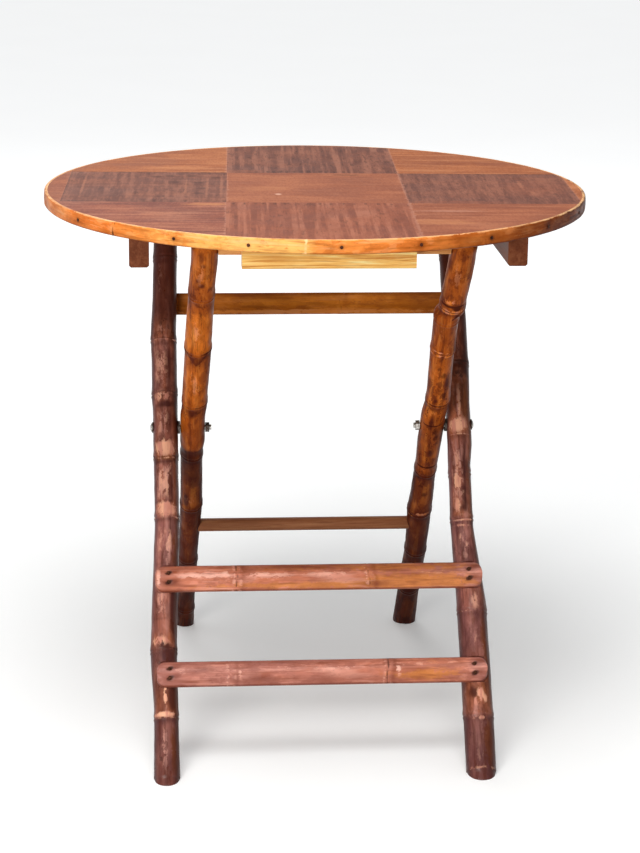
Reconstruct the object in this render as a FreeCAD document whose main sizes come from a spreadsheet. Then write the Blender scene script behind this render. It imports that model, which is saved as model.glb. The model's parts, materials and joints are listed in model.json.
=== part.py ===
import FreeCAD, Part
import os
import Sketcher

# Round folding table: a parquetry top on two bamboo frames that cross at a pair of bolts.
# Lengths in millimetres, angles in degrees. X runs to the right, Y to the back, Z up.
# The origin is on the floor under the middle of the top.

doc = FreeCAD.newDocument("FoldingTable")
sheet = doc.addObject("Spreadsheet::Sheet", "Sizes")

SIZES = [
    ("table_height", "611", "floor to veneer"),
    ("top_diameter", "610", "over the edge band"),
    ("top_thickness", "15", "veneer, board and band alike"),
    ("veneer_thickness", "0.8", "parquetry skin"),
    ("patch_width", "200", "middle column of the parquetry"),
    ("patch_depth", "192", "middle row of the parquetry"),
    ("west_tip_width", "20", "left sliver of veneer, at its middle"),
    ("east_tip_width", "10", "right sliver of veneer, at its middle"),
    ("pattern_turn", "-2.4", "parquetry turned against the frames"),
    ("band_thickness", "4", "split bamboo round the edge"),
    ("band_crown", "0.7", "bulge of the band"),
    ("band_corner", "0.8", "rounding of the band edges"),
    ("band_joint_angle", "100", "half of the front strip"),
    ("band_joint_gap", "0.2", "open joint between the strips"),
    ("edge_nail_head", "3.6", "diameter"),
    ("edge_nail_head_height", "0.6", "above the band"),
    ("edge_nail_shank", "1.6", "diameter"),
    ("edge_nail_length", "14", "under the head"),
    ("nail_fit", "0.03", "hole over nail, on the radius"),
    ("batten_width", "21", "sideways"),
    ("batten_depth", "32", "below the board"),
    ("batten_inset", "3.6", "batten corners short of the edge band"),
    ("batten_gap", "4", "batten to outer pole"),
    ("batten_edge", "2", "softened lower edges"),
    ("rail_length", "184", "sideways"),
    ("rail_depth", "34", "below the board"),
    ("rail_thickness", "19", "front to back"),
    ("rail_edge", "1.5", "softened lower edges"),
    ("rail_gap", "0.6", "behind it, to the top bar"),
    ("hinge_edge", "128.76", "hinge line to the edge of the top"),
    ("end_round", "0.3", "rounded pole end over stem, on the radius"),
    ("support_gap", "0.4", "pole ends below the board"),
    ("hinge_pin", "7", "diameter"),
    ("hinge_pin_head", "13", "diameter"),
    ("hinge_pin_head_height", "4", "outside the batten"),
    ("hinge_pin_reach", "24", "into the outer pole"),
    ("running_fit", "0.06", "hole over pin, on the radius"),
    ("tight_fit", "0.02", "hole over fixed shank, on the radius"),
    ("crossing_share", "0.54337", "height of the crossing bolts, of the table height"),
    ("bolt_setback", "-6", "crossing bolts behind the centre"),
    ("pole_diameter", "28.6", "where the bolts pass"),
    ("outer_spread", "341.4", "outer poles, centre to centre"),
    ("pole_gap", "2.8", "outer pole to inner pole at the bolts"),
    ("outer_left_top_shift", "4", "pole end drawn in, outer frame"),
    ("outer_right_top_shift", "2.5", "pole end let out, outer frame"),
    ("inner_left_top_shift", "9", "pole end drawn in, inner frame"),
    ("inner_right_top_shift", "6", "pole end let out, inner frame"),
    ("plain_half_share", "0.0334", "even pole each side of a hole, of the pole length"),
    ("ring_half_share", "0.0125", "half height of a bamboo joint, of the pole length"),
    ("ring_lip_share", "0.0036", "half height of its ridge, of the pole length"),
    ("ring_swell", "1.7", "joint over stem, on the diameter"),
    ("seam_turn", "45", "where the pole surface closes, from the side"),
    ("foot_overrun", "16", "pole blank below the floor"),
    ("foot_cut_depth", "48", "reach of the level cut at the feet"),
    ("upper_stretcher_share", "0.3115", "up the outer pole"),
    ("lower_stretcher_share", "0.1585", "up the outer pole"),
    ("stretcher_upper_width", "30", "along the pole"),
    ("stretcher_lower_width", "28.5", "along the pole"),
    ("stretcher_upper_overhang", "14", "beyond the pole axis"),
    ("stretcher_lower_overhang", "13.2", "beyond the pole axis"),
    ("stretcher_thickness", "9", "at the crown"),
    ("stretcher_side", "3.2", "at the long edges"),
    ("stretcher_corner", "9", "rounding of the ends"),
    ("seat_depth", "1.6", "flat cut into a pole under a stretcher"),
    ("seat_margin", "0.6", "flat beyond the stretcher"),
    ("crossbar_share", "0.7953", "up the outer pole"),
    ("crossbar_width", "27", "along the pole"),
    ("crossbar_overhang", "12.3", "beyond the pole axis"),
    ("crossbar_thickness", "10", "at the crown"),
    ("crossbar_side", "3.5", "at the long edges"),
    ("crossbar_corner", "5", "rounding of the ends"),
    ("slat_ring", "0.7", "bamboo joint over the crown of a stretcher"),
    ("slat_ring_width", "5", "along the stretcher"),
    ("hollow_depth", "2.4", "cane's hollow in the back of a stretcher"),
    ("hollow_wall", "4.5", "beside the hollow"),
    ("hollow_end", "6", "hollow short of the poles"),
    ("nail_head", "4.4", "diameter, stretcher nails"),
    ("nail_head_height", "1", "above the stretcher"),
    ("nail_shank", "2.2", "diameter, stretcher nails"),
    ("nail_length", "20", "under the head"),
    ("nail_inset", "1", "nails off the pole axis, toward the middle"),
    ("nail_pitch", "10.5", "between two nails of a pair"),
    ("nail_sink", "1.2", "head below the crown"),
    ("rear_stretcher_share", "0.3017", "up the inner pole"),
    ("dowel_diameter", "16", "rear stretcher"),
    ("dowel_depth", "9", "into each pole"),
    ("top_bar_height", "16", "upright"),
    ("top_bar_thickness", "12", "front to back"),
    ("top_bar_edge", "2.5", "rounded edges"),
    ("tenon_diameter", "9", "ends of the top bar"),
    ("tenon_depth", "9", "into each pole"),
    ("bolt_diameter", "6", "crossing bolts"),
    ("bolt_head", "10", "diameter"),
    ("bolt_head_height", "2", "domed"),
    ("washer_diameter", "12.5", "under the bolt head"),
    ("washer_thickness", "1", "under the bolt head"),
    ("spacer_diameter", "15", "between the poles"),
    ("play", "0.3", "between parts that turn on each other"),
    ("nut_width", "10", "across flats"),
    ("nut_height", "4.6", "sideways"),
    ("bolt_tail", "2.4", "bolt beyond the nut"),
]

for row, (alias, value, note) in enumerate(SIZES, start=1):
    sheet.set("A" + str(row), alias)
    sheet.set("B" + str(row), value)
    sheet.set("C" + str(row), note)
    sheet.setAlias("B" + str(row), alias)
doc.recompute()


RIM_RADIUS = "(Sizes.top_diameter / 2)"
BOARD_RADIUS = "(Sizes.top_diameter / 2 - Sizes.band_thickness)"
TOP_UNDERSIDE = "(Sizes.table_height - Sizes.top_thickness)"
BOARD_TOP = "(Sizes.table_height - Sizes.veneer_thickness)"
BOARD_THICKNESS = "(Sizes.top_thickness - Sizes.veneer_thickness)"
STEM_RADIUS = "(Sizes.pole_diameter / 2)"
END_RADIUS = "(Sizes.pole_diameter / 2 + Sizes.end_round)"
HINGE_DROP = "(" + END_RADIUS + " + Sizes.support_gap)"
HINGE_HEIGHT = "(" + TOP_UNDERSIDE + " - " + HINGE_DROP + ")"
BOLT_HEIGHT = "(Sizes.table_height * Sizes.crossing_share)"
HINGE_RISE = "(" + HINGE_HEIGHT + " - " + BOLT_HEIGHT + ")"
HINGE_BACK = "(" + RIM_RADIUS + " - Sizes.hinge_edge)"
HINGE_RUN = "(" + HINGE_BACK + " - Sizes.bolt_setback)"
BAR_FRONT = "(Sizes.bolt_setback - " + HINGE_RUN + ")"
LEAN = "atan(" + HINGE_RUN + " / " + HINGE_RISE + ")"
BOLT_TO_FOOT = "(" + BOLT_HEIGHT + " / cos(" + LEAN + "))"
BOLT_TO_END = "(" + HINGE_RISE + " / cos(" + LEAN + "))"
POLE_LENGTH = "(" + BOLT_TO_FOOT + " + " + BOLT_TO_END + ")"
OUTER_X = "(Sizes.outer_spread / 2)"
INNER_X = "(Sizes.outer_spread / 2 - Sizes.pole_diameter - Sizes.pole_gap)"
BATTEN_X = "(" + OUTER_X + " + " + STEM_RADIUS + " + Sizes.batten_gap + Sizes.batten_width / 2)"
SEAT_LEVEL = "(Sizes.pole_diameter / 2 - Sizes.seat_depth)"

WHOLE_TURN = 360
RIGHT_ANGLE = 90
HALF_TURN = 180
LEFT = "(0 - 1)"
RIGHT = "1"
FORWARD = "(0 - 1)"
BACKWARD = "1"


def turned(x="0", y="0", z="0", axis="1; 0; 0", angle="0"):
    return "placement(vector(" + x + "; " + y + "; " + z + "); rotation(vector(" + axis + "); " + angle + "))"


AT_OUTER_FRAME = turned(y="Sizes.bolt_setback", z=BOLT_HEIGHT, angle="-1 * " + LEAN)
AT_INNER_FRAME = turned(y="Sizes.bolt_setback", z=BOLT_HEIGHT, angle=LEAN)


def bind(thing, **rules):
    for prop, rule in rules.items():
        thing.setExpression(prop, rule)


def place(thing, *steps):
    thing.setExpression("Placement", " * ".join(steps))


def primitive(kind, name, *steps, **rules):
    thing = doc.addObject("Part::" + kind, name)
    bind(thing, **rules)
    place(thing, *steps)
    return thing


def boolean(kind, name, base, tool):
    thing = doc.addObject("Part::" + kind, name)
    thing.Base = base
    thing.Tool = tool
    return thing


def gather(name, things):
    thing = doc.addObject("Part::MultiFuse", name)
    thing.Shapes = things
    return thing


def worth(rule):
    return float(sheet.evalExpression(rule))


def plane_of(body, role):
    for feature in body.Origin.OriginFeatures:
        if feature.Role == role:
            return feature
    raise ValueError(role)


def new_body(label):
    return doc.addObject("PartDesign::Body", label)


def new_sketch(body, role, offset="0"):
    sketch = body.newObject("Sketcher::SketchObject", body.Name + "_outline")
    sketch.AttachmentSupport = [(plane_of(body, role), "")]
    sketch.MapMode = "FlatFace"
    sketch.setExpression(".AttachmentOffset.Base.z", offset)
    return sketch


def tie(sketch, kind, *parts, rule=None):
    if rule is None:
        sketch.addConstraint(Sketcher.Constraint(kind, *parts))
        return
    index = sketch.addConstraint(Sketcher.Constraint(kind, *parts, worth(rule)))
    sketch.setExpression("Constraints[" + str(index) + "]", rule)


def pin_point(sketch, geometry, point, x_rule, y_rule):
    tie(sketch, "DistanceX", -1, 1, geometry, point, rule=x_rule)
    tie(sketch, "DistanceY", -1, 1, geometry, point, rule=y_rule)


def add_circle(sketch, radius, x="0", y="0"):
    centre = FreeCAD.Vector(worth(x), worth(y), 0)
    ring = sketch.addGeometry(Part.Circle(centre, FreeCAD.Vector(0, 0, 1), worth(radius)), False)
    tie(sketch, "Radius", ring, rule=radius)
    pin_point(sketch, ring, 3, x, y)


def add_outline(sketch, corners):
    spots = [FreeCAD.Vector(worth(x), worth(y), 0) for x, y in corners]
    lines = []
    for index, (x, y) in enumerate(corners):
        onward = spots[(index + 1) % len(spots)]
        line = sketch.addGeometry(Part.LineSegment(spots[index], onward), False)
        if lines:
            tie(sketch, "Coincident", lines[-1], 2, line, 1)
        lines.append(line)
        pin_point(sketch, line, 1, x, y)
    tie(sketch, "Coincident", lines[-1], 2, lines[0], 1)


def add_crowned(sketch, half_width, side, crown):
    # flat back on the axis, two short sides, one arc over the front
    bulge = "(" + crown + " - " + side + ")"
    radius = "((" + half_width + " ^ 2 + " + bulge + " ^ 2) / (2 * " + bulge + "))"
    corners = [("0", "0 - " + half_width), ("0", half_width), ("0 - " + side, half_width)]
    last = ("0 - " + side, "0 - " + half_width)
    spots = [FreeCAD.Vector(worth(x), worth(y), 0) for x, y in corners + [last]]
    top = FreeCAD.Vector(0 - worth(crown), 0, 0)
    back = sketch.addGeometry(Part.LineSegment(spots[0], spots[1]), False)
    upper = sketch.addGeometry(Part.LineSegment(spots[1], spots[2]), False)
    lower = sketch.addGeometry(Part.LineSegment(spots[3], spots[0]), False)
    arc = sketch.addGeometry(Part.Arc(spots[2], top, spots[3]), False)
    tie(sketch, "Coincident", back, 2, upper, 1)
    tie(sketch, "Coincident", lower, 2, back, 1)
    tie(sketch, "Coincident", upper, 2, arc, 1)
    tie(sketch, "Coincident", arc, 2, lower, 1)
    pin_point(sketch, back, 1, *corners[0])
    pin_point(sketch, back, 2, *corners[1])
    pin_point(sketch, upper, 2, *corners[2])
    pin_point(sketch, lower, 1, *last)
    tie(sketch, "Radius", arc, rule=radius)


def add_bow(sketch, half_width, depth):
    # chord on the axis, arc bulging to the front
    radius = "((" + half_width + " ^ 2 + " + depth + " ^ 2) / (2 * " + depth + "))"
    low = FreeCAD.Vector(0, 0 - worth(half_width), 0)
    high = FreeCAD.Vector(0, worth(half_width), 0)
    chord = sketch.addGeometry(Part.LineSegment(low, high), False)
    arc = sketch.addGeometry(Part.Arc(high, FreeCAD.Vector(0 - worth(depth), 0, 0), low), False)
    tie(sketch, "Coincident", chord, 2, arc, 1)
    tie(sketch, "Coincident", arc, 2, chord, 1)
    pin_point(sketch, chord, 1, "0", "0 - " + half_width)
    pin_point(sketch, chord, 2, "0", half_width)
    tie(sketch, "Radius", arc, rule=radius)


def pad(body, sketch, length, both_ways=True):
    feature = body.newObject("PartDesign::Pad", body.Name + "_pad")
    feature.Profile = sketch
    feature.setExpression("Length", length)
    feature.SideType = "Symmetric" if both_ways else "One side"
    return feature


def pocket(body, sketch, length):
    feature = body.newObject("PartDesign::Pocket", body.Name + "_hollow")
    feature.Profile = sketch
    feature.setExpression("Length", length)
    feature.SideType = "Symmetric"
    return feature


def through_cut(body, sketch, both_ways=True, reverse=False):
    feature = body.newObject("PartDesign::Pocket", body.Name + "_cut")
    feature.Profile = sketch
    feature.Type = "ThroughAll"
    feature.SideType = "Symmetric" if both_ways else "One side"
    feature.Reversed = reverse
    return feature


def spun(body, sketch, axis, angle=None):
    feature = body.newObject("PartDesign::Revolution", body.Name + "_turned")
    feature.Profile = sketch
    feature.ReferenceAxis = (sketch, [axis])
    if angle:
        feature.Midplane = True
        feature.setExpression("Angle", angle)
    return feature


def rounded(body, feature, radius, wanted):
    doc.recompute()
    names = []
    for index, edge in enumerate(feature.Shape.Edges, start=1):
        if wanted(edge):
            names.append("Edge" + str(index))
    fillet = body.newObject("PartDesign::Fillet", body.Name + "_rounding")
    fillet.Base = (feature, names)
    fillet.setExpression("Radius", radius)
    return fillet


# Edge nails round the rim, at these angles from the front middle, anticlockwise from above
EDGE_NAIL_ANGLES = [
    -59.8, -32.5, -17.0, 0.8, 16.5, 32.5, 50.0, 67.0, 84.0, 101.0, 117.5,
    134.0, 150.5, 167.0, 183.5, 200.0, 216.5, 233.0, 249.5, 266.0,
]
RIM_MIDDLE = "(Sizes.table_height - Sizes.top_thickness / 2)"


def at_rim(angle, radius):
    swing = turned(axis="0; 0; 1", angle=str(angle))
    inward = turned(y="0 - " + radius, z=RIM_MIDDLE, angle="0 - " + str(RIGHT_ANGLE))
    return swing, inward


OVER_RIM = "(" + RIM_RADIUS + " + Sizes.edge_nail_head_height)"
nail_parts = []
rim_drills = []
for number, angle in enumerate(EDGE_NAIL_ANGLES):
    tag = str(number)
    head_place = at_rim(angle, OVER_RIM)
    nail_parts.append(primitive("Cylinder", "EdgeNailHead" + tag, *head_place,
                                Radius="Sizes.edge_nail_head / 2", Height="Sizes.edge_nail_head_height"))
    nail_parts.append(primitive("Cylinder", "EdgeNailShank" + tag, *at_rim(angle, RIM_RADIUS),
                                Radius="Sizes.edge_nail_shank / 2", Height="Sizes.edge_nail_length"))
    rim_drills.append(primitive("Cylinder", "RimDrill" + tag, *at_rim(angle, OVER_RIM),
                                Radius="Sizes.edge_nail_shank / 2 + Sizes.nail_fit",
                                Height="Sizes.edge_nail_length + Sizes.edge_nail_head_height"))
edge_nails = gather("edge_nails", nail_parts)
rim_drill = gather("RimDrill", rim_drills)

# Round board of the top, drilled for the nails
board_blank = primitive("Cylinder", "BoardBlank", turned(z=TOP_UNDERSIDE),
                        Radius=BOARD_RADIUS, Height=BOARD_THICKNESS)
top_board = boolean("Cut", "top_board", board_blank, rim_drill)

# Split-bamboo band in two strips; the section bulges and has eased edges
BULGE_SHARES = ("0.33", "0.67")
FRONT_ARC = "(2 * Sizes.band_joint_angle)"
JOINT_ARC = "(Sizes.band_joint_gap / (" + RIM_RADIUS + " * pi) * " + str(HALF_TURN) + ")"


def band_strip(label, arc, facing):
    body = new_body(label + "_blank")
    sketch = new_sketch(body, "XZ_Plane")
    flush = "(" + RIM_RADIUS + " - Sizes.band_crown)"
    add_outline(sketch, [
        (BOARD_RADIUS, "0"),
        (flush + " - Sizes.band_corner", "0"),
        (flush, "Sizes.band_corner"),
        *[(RIM_RADIUS, share + " * Sizes.top_thickness") for share in BULGE_SHARES],
        (flush, "Sizes.top_thickness - Sizes.band_corner"),
        (flush + " - Sizes.band_corner", "Sizes.top_thickness"),
        (BOARD_RADIUS, "Sizes.top_thickness"),
    ])
    spun(body, sketch, "V_Axis", arc)
    place(body, turned(z=TOP_UNDERSIDE, axis="0; 0; 1", angle=facing))
    return boolean("Cut", label, body, rim_drill)


band_front = band_strip("edge_band_front", FRONT_ARC + " - " + JOINT_ARC, "0 - " + str(RIGHT_ANGLE))
BACK_ARC = "(" + str(WHOLE_TURN) + " - " + FRONT_ARC + ")"
band_back = band_strip("edge_band_back", BACK_ARC + " - " + JOINT_ARC, str(RIGHT_ANGLE))

# Parquetry: three columns by three rows of veneer, with a sliver at each side
EDGE_W = "(0 - " + RIM_RADIUS + ")"
TIP_W = "(0 - (" + BOARD_RADIUS + " - Sizes.west_tip_width))"
SEAM_W = "(0 - Sizes.patch_width / 2)"
SEAM_E = "(Sizes.patch_width / 2)"
TIP_E = "(" + BOARD_RADIUS + " - Sizes.east_tip_width)"
EDGE_E = RIM_RADIUS
SEAM_S = "(0 - Sizes.patch_depth / 2)"
SEAM_N = "(Sizes.patch_depth / 2)"


def veneer(label, west, east, south, north):
    block = primitive("Box", label + "_block", turned(x=west, y=south),
                      Length=east + " - " + west, Width=north + " - " + south,
                      Height="Sizes.veneer_thickness")
    disc = primitive("Cylinder", label + "_disc", turned(),
                     Radius=BOARD_RADIUS, Height="Sizes.veneer_thickness")
    sheet_piece = doc.addObject("Part::MultiCommon", label)
    sheet_piece.Shapes = [block, disc]
    place(sheet_piece, turned(z=BOARD_TOP, axis="0; 0; 1", angle="Sizes.pattern_turn"))
    return sheet_piece


veneers = [
    veneer("veneer_northwest", EDGE_W, SEAM_W, SEAM_N, EDGE_E),
    veneer("veneer_north", SEAM_W, SEAM_E, SEAM_N, EDGE_E),
    veneer("veneer_northeast", SEAM_E, EDGE_E, SEAM_N, EDGE_E),
    veneer("veneer_west", TIP_W, SEAM_W, SEAM_S, SEAM_N),
    veneer("veneer_centre", SEAM_W, SEAM_E, SEAM_S, SEAM_N),
    veneer("veneer_east", SEAM_E, TIP_E, SEAM_S, SEAM_N),
    veneer("veneer_southwest", EDGE_W, SEAM_W, EDGE_W, SEAM_S),
    veneer("veneer_south", SEAM_W, SEAM_E, EDGE_W, SEAM_S),
    veneer("veneer_southeast", SEAM_E, EDGE_E, EDGE_W, SEAM_S),
    veneer("veneer_west_tip", EDGE_W, TIP_W, SEAM_S, SEAM_N),
    veneer("veneer_east_tip", TIP_E, EDGE_E, SEAM_S, SEAM_N),
]


# Battens front to back under the board, bored for the hinge pins
BATTEN_SIDE = "(" + BATTEN_X + " + Sizes.batten_width / 2)"
BATTEN_LENGTH = "(2 * (sqrt(" + BOARD_RADIUS + " ^ 2 - " + BATTEN_SIDE + " ^ 2) - Sizes.batten_inset))"


def batten(label, side):
    body = new_body(label)
    half = "(Sizes.batten_width / 2)"
    sketch = new_sketch(body, "XZ_Plane")
    add_outline(sketch, [
        ("0 - " + half, "0"),
        ("0 - " + half, "0 - Sizes.batten_depth + Sizes.batten_edge"),
        ("0 - " + half + " + Sizes.batten_edge", "0 - Sizes.batten_depth"),
        (half + " - Sizes.batten_edge", "0 - Sizes.batten_depth"),
        (half, "0 - Sizes.batten_depth + Sizes.batten_edge"),
        (half, "0"),
    ])
    pad(body, sketch, BATTEN_LENGTH)
    bore = new_sketch(body, "YZ_Plane")
    add_circle(bore, "Sizes.hinge_pin / 2 + Sizes.tight_fit", HINGE_BACK, "0 - " + HINGE_DROP)
    through_cut(body, bore)
    place(body, turned(x=side + " * " + BATTEN_X, z=TOP_UNDERSIDE))
    return body


batten_left = batten("batten_left", LEFT)
batten_right = batten("batten_right", RIGHT)

# Pine rail that stops the top bar from sliding forward
stop_rail = new_body("stop_rail")
rail_sketch = new_sketch(stop_rail, "YZ_Plane")
add_outline(rail_sketch, [
    ("0", "0"),
    ("0", "0 - Sizes.rail_depth"),
    ("0 - Sizes.rail_thickness + Sizes.rail_edge", "0 - Sizes.rail_depth"),
    ("0 - Sizes.rail_thickness", "0 - Sizes.rail_depth + Sizes.rail_edge"),
    ("0 - Sizes.rail_thickness", "0"),
])
pad(stop_rail, rail_sketch, "Sizes.rail_length")
RAIL_BACK = "(" + BAR_FRONT + " - Sizes.top_bar_thickness / 2 - Sizes.rail_gap)"
place(stop_rail, turned(y=RAIL_BACK, z=TOP_UNDERSIDE))


# Turned pins and bolts: head outside, shank pointing inward along X
# Head profile from the crown down, as (share of its height, share of its diameter)
HEAD_SHARES = [("1", "0"), ("1", "0.25"), ("0.67", "0.375"), ("0.33", "0.5"), ("0", "0.5")]


def headed_pin(label, head, head_height, shank, length):
    body = new_body(label)
    sketch = new_sketch(body, "XZ_Plane")
    crown = [("0 - " + rise + " * " + head_height, out + " * " + head) for rise, out in HEAD_SHARES]
    add_outline(sketch, crown + [
        ("0", shank + " / 2"),
        (length, shank + " / 2"),
        (length, "0"),
    ])
    spun(body, sketch, "H_Axis")
    return body


def aimed(side, x, y, z):
    # the right-hand one is turned half round so that it points inward too
    facing = "0" if side == LEFT else str(HALF_TURN)
    return turned(x=side + " * " + x, y=y, z=z, axis="0; 0; 1", angle=facing)


PIN_LENGTH = "(Sizes.batten_width + Sizes.batten_gap + Sizes.hinge_pin_reach)"


def hinge_pin(label, side):
    body = headed_pin(label, "Sizes.hinge_pin_head", "Sizes.hinge_pin_head_height",
                      "Sizes.hinge_pin", PIN_LENGTH)
    place(body, aimed(side, BATTEN_SIDE, HINGE_BACK, HINGE_HEIGHT))
    return body


hinge_pin_left = hinge_pin("hinge_pin_left", LEFT)
hinge_pin_right = hinge_pin("hinge_pin_right", RIGHT)

# Poles: bamboo joints as (share of the pole length, of its diameter, sideways shift as share of it)
OUTER_LEFT_RING_SHARES = [
    (0.096, 1.000, -0.115), (0.200, 1.090, -0.180), (0.418, 1.030, 0.010),
    (0.519, 1.050, 0.005), (0.628, 1.090, -0.010), (0.722, 1.100, -0.025), (0.868, 1.030, 0.080),
]
OUTER_RIGHT_RING_SHARES = [
    (0.089, 1.240, 0.095), (0.256, 1.230, 0.085), (0.409, 0.970, -0.110),
    (0.487, 0.960, -0.075), (0.676, 1.030, 0.080), (0.868, 1.010, 0.090),
]
INNER_LEFT_RING_SHARES = [
    (0.057, 0.860, -0.170), (0.209, 0.890, -0.100), (0.369, 0.980, 0.000), (0.506, 0.960, -0.020),
    (0.644, 1.060, 0.060), (0.775, 1.100, 0.150), (0.901, 1.060, 0.230),
]
INNER_RIGHT_RING_SHARES = [
    (0.114, 1.000, 0.040), (0.228, 1.000, 0.080), (0.345, 1.080, 0.005), (0.458, 0.970, 0.000),
    (0.644, 1.020, 0.070), (0.768, 1.010, -0.030), (0.842, 1.030, -0.070),
    (0.871, 1.060, 0.110),
]
DOME_SHARES = [(0.45, 0.893), (0.80, 0.600), (0.97, 0.243)]


def station(share):
    return "(" + str(share) + " * " + POLE_LENGTH + " - " + BOLT_TO_FOOT + ")"


PLAIN_HALF = "(Sizes.plain_half_share * " + POLE_LENGTH + ")"
RING_HALF = "(Sizes.ring_half_share * " + POLE_LENGTH + ")"
RING_LIP = "(Sizes.ring_lip_share * " + POLE_LENGTH + ")"


def ring_sections(share, width, shift):
    middle = station(share)
    sideways = "(" + str(shift) + " * Sizes.pole_diameter)"
    full = "(" + str(width) + " * Sizes.pole_diameter / 2)"
    stem = "(" + full + " - Sizes.ring_swell / 2)"
    return [
        (middle + " - " + RING_HALF, stem, sideways),
        (middle + " - " + RING_LIP, full, sideways),
        (middle + " + " + RING_LIP + " / 2", full, sideways),
        (middle + " + " + RING_HALF, stem, sideways),
    ]


def pole_sections(foot_width, foot_shift, rings, end_shift):
    foot_side = "(" + str(foot_shift) + " * Sizes.pole_diameter)"
    foot_radius = "(" + str(foot_width) + " * Sizes.pole_diameter / 2)"
    below = [("0 - " + BOLT_TO_FOOT + " - Sizes.foot_overrun", foot_radius, foot_side)]
    above = []
    for share, width, shift in rings:
        chosen = below if share < worth(BOLT_TO_FOOT) / worth(POLE_LENGTH) else above
        chosen.extend(ring_sections(share, width, shift))
    plain = [
        ("0 - " + PLAIN_HALF, STEM_RADIUS, "0"),
        (PLAIN_HALF, STEM_RADIUS, "0"),
    ]
    end = [
        (BOLT_TO_END + " - " + PLAIN_HALF, STEM_RADIUS, end_shift),
        (BOLT_TO_END, STEM_RADIUS, end_shift),
    ]
    for height, width in DOME_SHARES:
        end.append((BOLT_TO_END + " + " + str(height) + " * " + END_RADIUS,
                    str(width) + " * " + END_RADIUS, end_shift))
    return below + plain + above + end


def pole_blank(label, sections):
    body = new_body(label)
    rings = []
    for height, radius, sideways in sections:
        # the circles start on the diagonal, clear of the bolt, the pin and the nails
        sketch = new_sketch(body, "XY_Plane", height)
        sketch.setExpression("AttachmentOffset", turned(z=height, axis="0; 0; 1", angle="Sizes.seam_turn"))
        along = "(" + sideways + ") * cos(Sizes.seam_turn)"
        across = "0 - (" + sideways + ") * sin(Sizes.seam_turn)"
        add_circle(sketch, radius, along, across)
        rings.append(sketch)
    loft = body.newObject("PartDesign::AdditiveLoft", body.Name + "_stem")
    loft.Profile = rings[0]
    loft.Sections = rings[1:]
    loft.Ruled = True
    return body


def drill(body, radius, height, role="YZ_Plane", offset="0", x="0", both_ways=True, reverse=False):
    sketch = new_sketch(body, role, offset)
    add_circle(sketch, radius, x, height)
    return through_cut(body, sketch, both_ways, reverse)


def cut_foot(body, lean):
    # everything under the floor goes; the cut is level when the frame leans
    reach = "Sizes.pole_diameter"
    run = "(" + reach + " * tan(" + LEAN + ") * " + lean + ")"
    foot = "(0 - " + BOLT_TO_FOOT + ")"
    sketch = new_sketch(body, "YZ_Plane")
    add_outline(sketch, [
        ("0 - " + reach, foot + " - " + run),
        ("0 - " + reach, foot + " - Sizes.foot_cut_depth"),
        (reach, foot + " - Sizes.foot_cut_depth"),
        (reach, foot + " + " + run),
    ])
    through_cut(body, sketch)


def seat(body, middle, width, facing):
    # flat under a stretcher, open to the front or to the back
    half = "(" + width + " / 2 + Sizes.seat_margin)"
    sketch = new_sketch(body, "YZ_Plane")
    near = facing + " * " + SEAT_LEVEL
    far = facing + " * Sizes.pole_diameter"
    corners = [
        (near, middle + " - " + half),
        (far, middle + " - " + half),
        (far, middle + " + " + half),
        (near, middle + " + " + half),
    ]
    add_outline(sketch, corners)
    through_cut(body, sketch)


UPPER_AT = station("Sizes.upper_stretcher_share")
LOWER_AT = station("Sizes.lower_stretcher_share")
CROSSBAR_AT = station("Sizes.crossbar_share")
DOWEL_AT = station("Sizes.rear_stretcher_share")
NAIL_HOLE = "(Sizes.nail_shank / 2 + Sizes.nail_fit)"


def nail_heights(middle):
    return [middle + " - Sizes.nail_pitch / 2", middle + " + Sizes.nail_pitch / 2"]


def outer_pole(label, side, foot_width, foot_shift, rings, end_shift):
    body = pole_blank(label, pole_sections(foot_width, foot_shift, rings, end_shift))
    cut_foot(body, BACKWARD)
    seat(body, UPPER_AT, "Sizes.stretcher_upper_width", FORWARD)
    seat(body, LOWER_AT, "Sizes.stretcher_lower_width", FORWARD)
    seat(body, CROSSBAR_AT, "Sizes.crossbar_width", BACKWARD)
    drill(body, "Sizes.bolt_diameter / 2 + Sizes.tight_fit", "0")
    drill(body, "Sizes.hinge_pin / 2 + Sizes.running_fit", BOLT_TO_END)
    inset = "(0 - " + side + " * Sizes.nail_inset)"
    for middle in (UPPER_AT, LOWER_AT):
        for height in nail_heights(middle):
            drill(body, NAIL_HOLE, height, "XZ_Plane", "0", inset, False, True)
    for height in nail_heights(CROSSBAR_AT):
        drill(body, NAIL_HOLE, height, "XZ_Plane", "0", inset, False, False)
    place(body, AT_OUTER_FRAME, turned(x=side + " * " + OUTER_X))
    return body


def inner_pole(label, side, foot_width, foot_shift, rings, end_shift):
    body = pole_blank(label, pole_sections(foot_width, foot_shift, rings, end_shift))
    cut_foot(body, FORWARD)
    drill(body, "Sizes.bolt_diameter / 2 + Sizes.running_fit", "0")
    toward_middle = side == RIGHT
    dowel_floor = side + " * (0 - " + STEM_RADIUS + " + Sizes.dowel_depth)"
    drill(body, "Sizes.dowel_diameter / 2 + Sizes.tight_fit", DOWEL_AT, "YZ_Plane", dowel_floor,
          "0", False, not toward_middle)
    tenon_floor = side + " * (0 - " + STEM_RADIUS + " + Sizes.tenon_depth) + " + end_shift
    drill(body, "Sizes.tenon_diameter / 2 + Sizes.tight_fit", BOLT_TO_END, "YZ_Plane", tenon_floor,
          "0", False, not toward_middle)
    place(body, AT_INNER_FRAME, turned(x=side + " * " + INNER_X))
    return body


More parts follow.
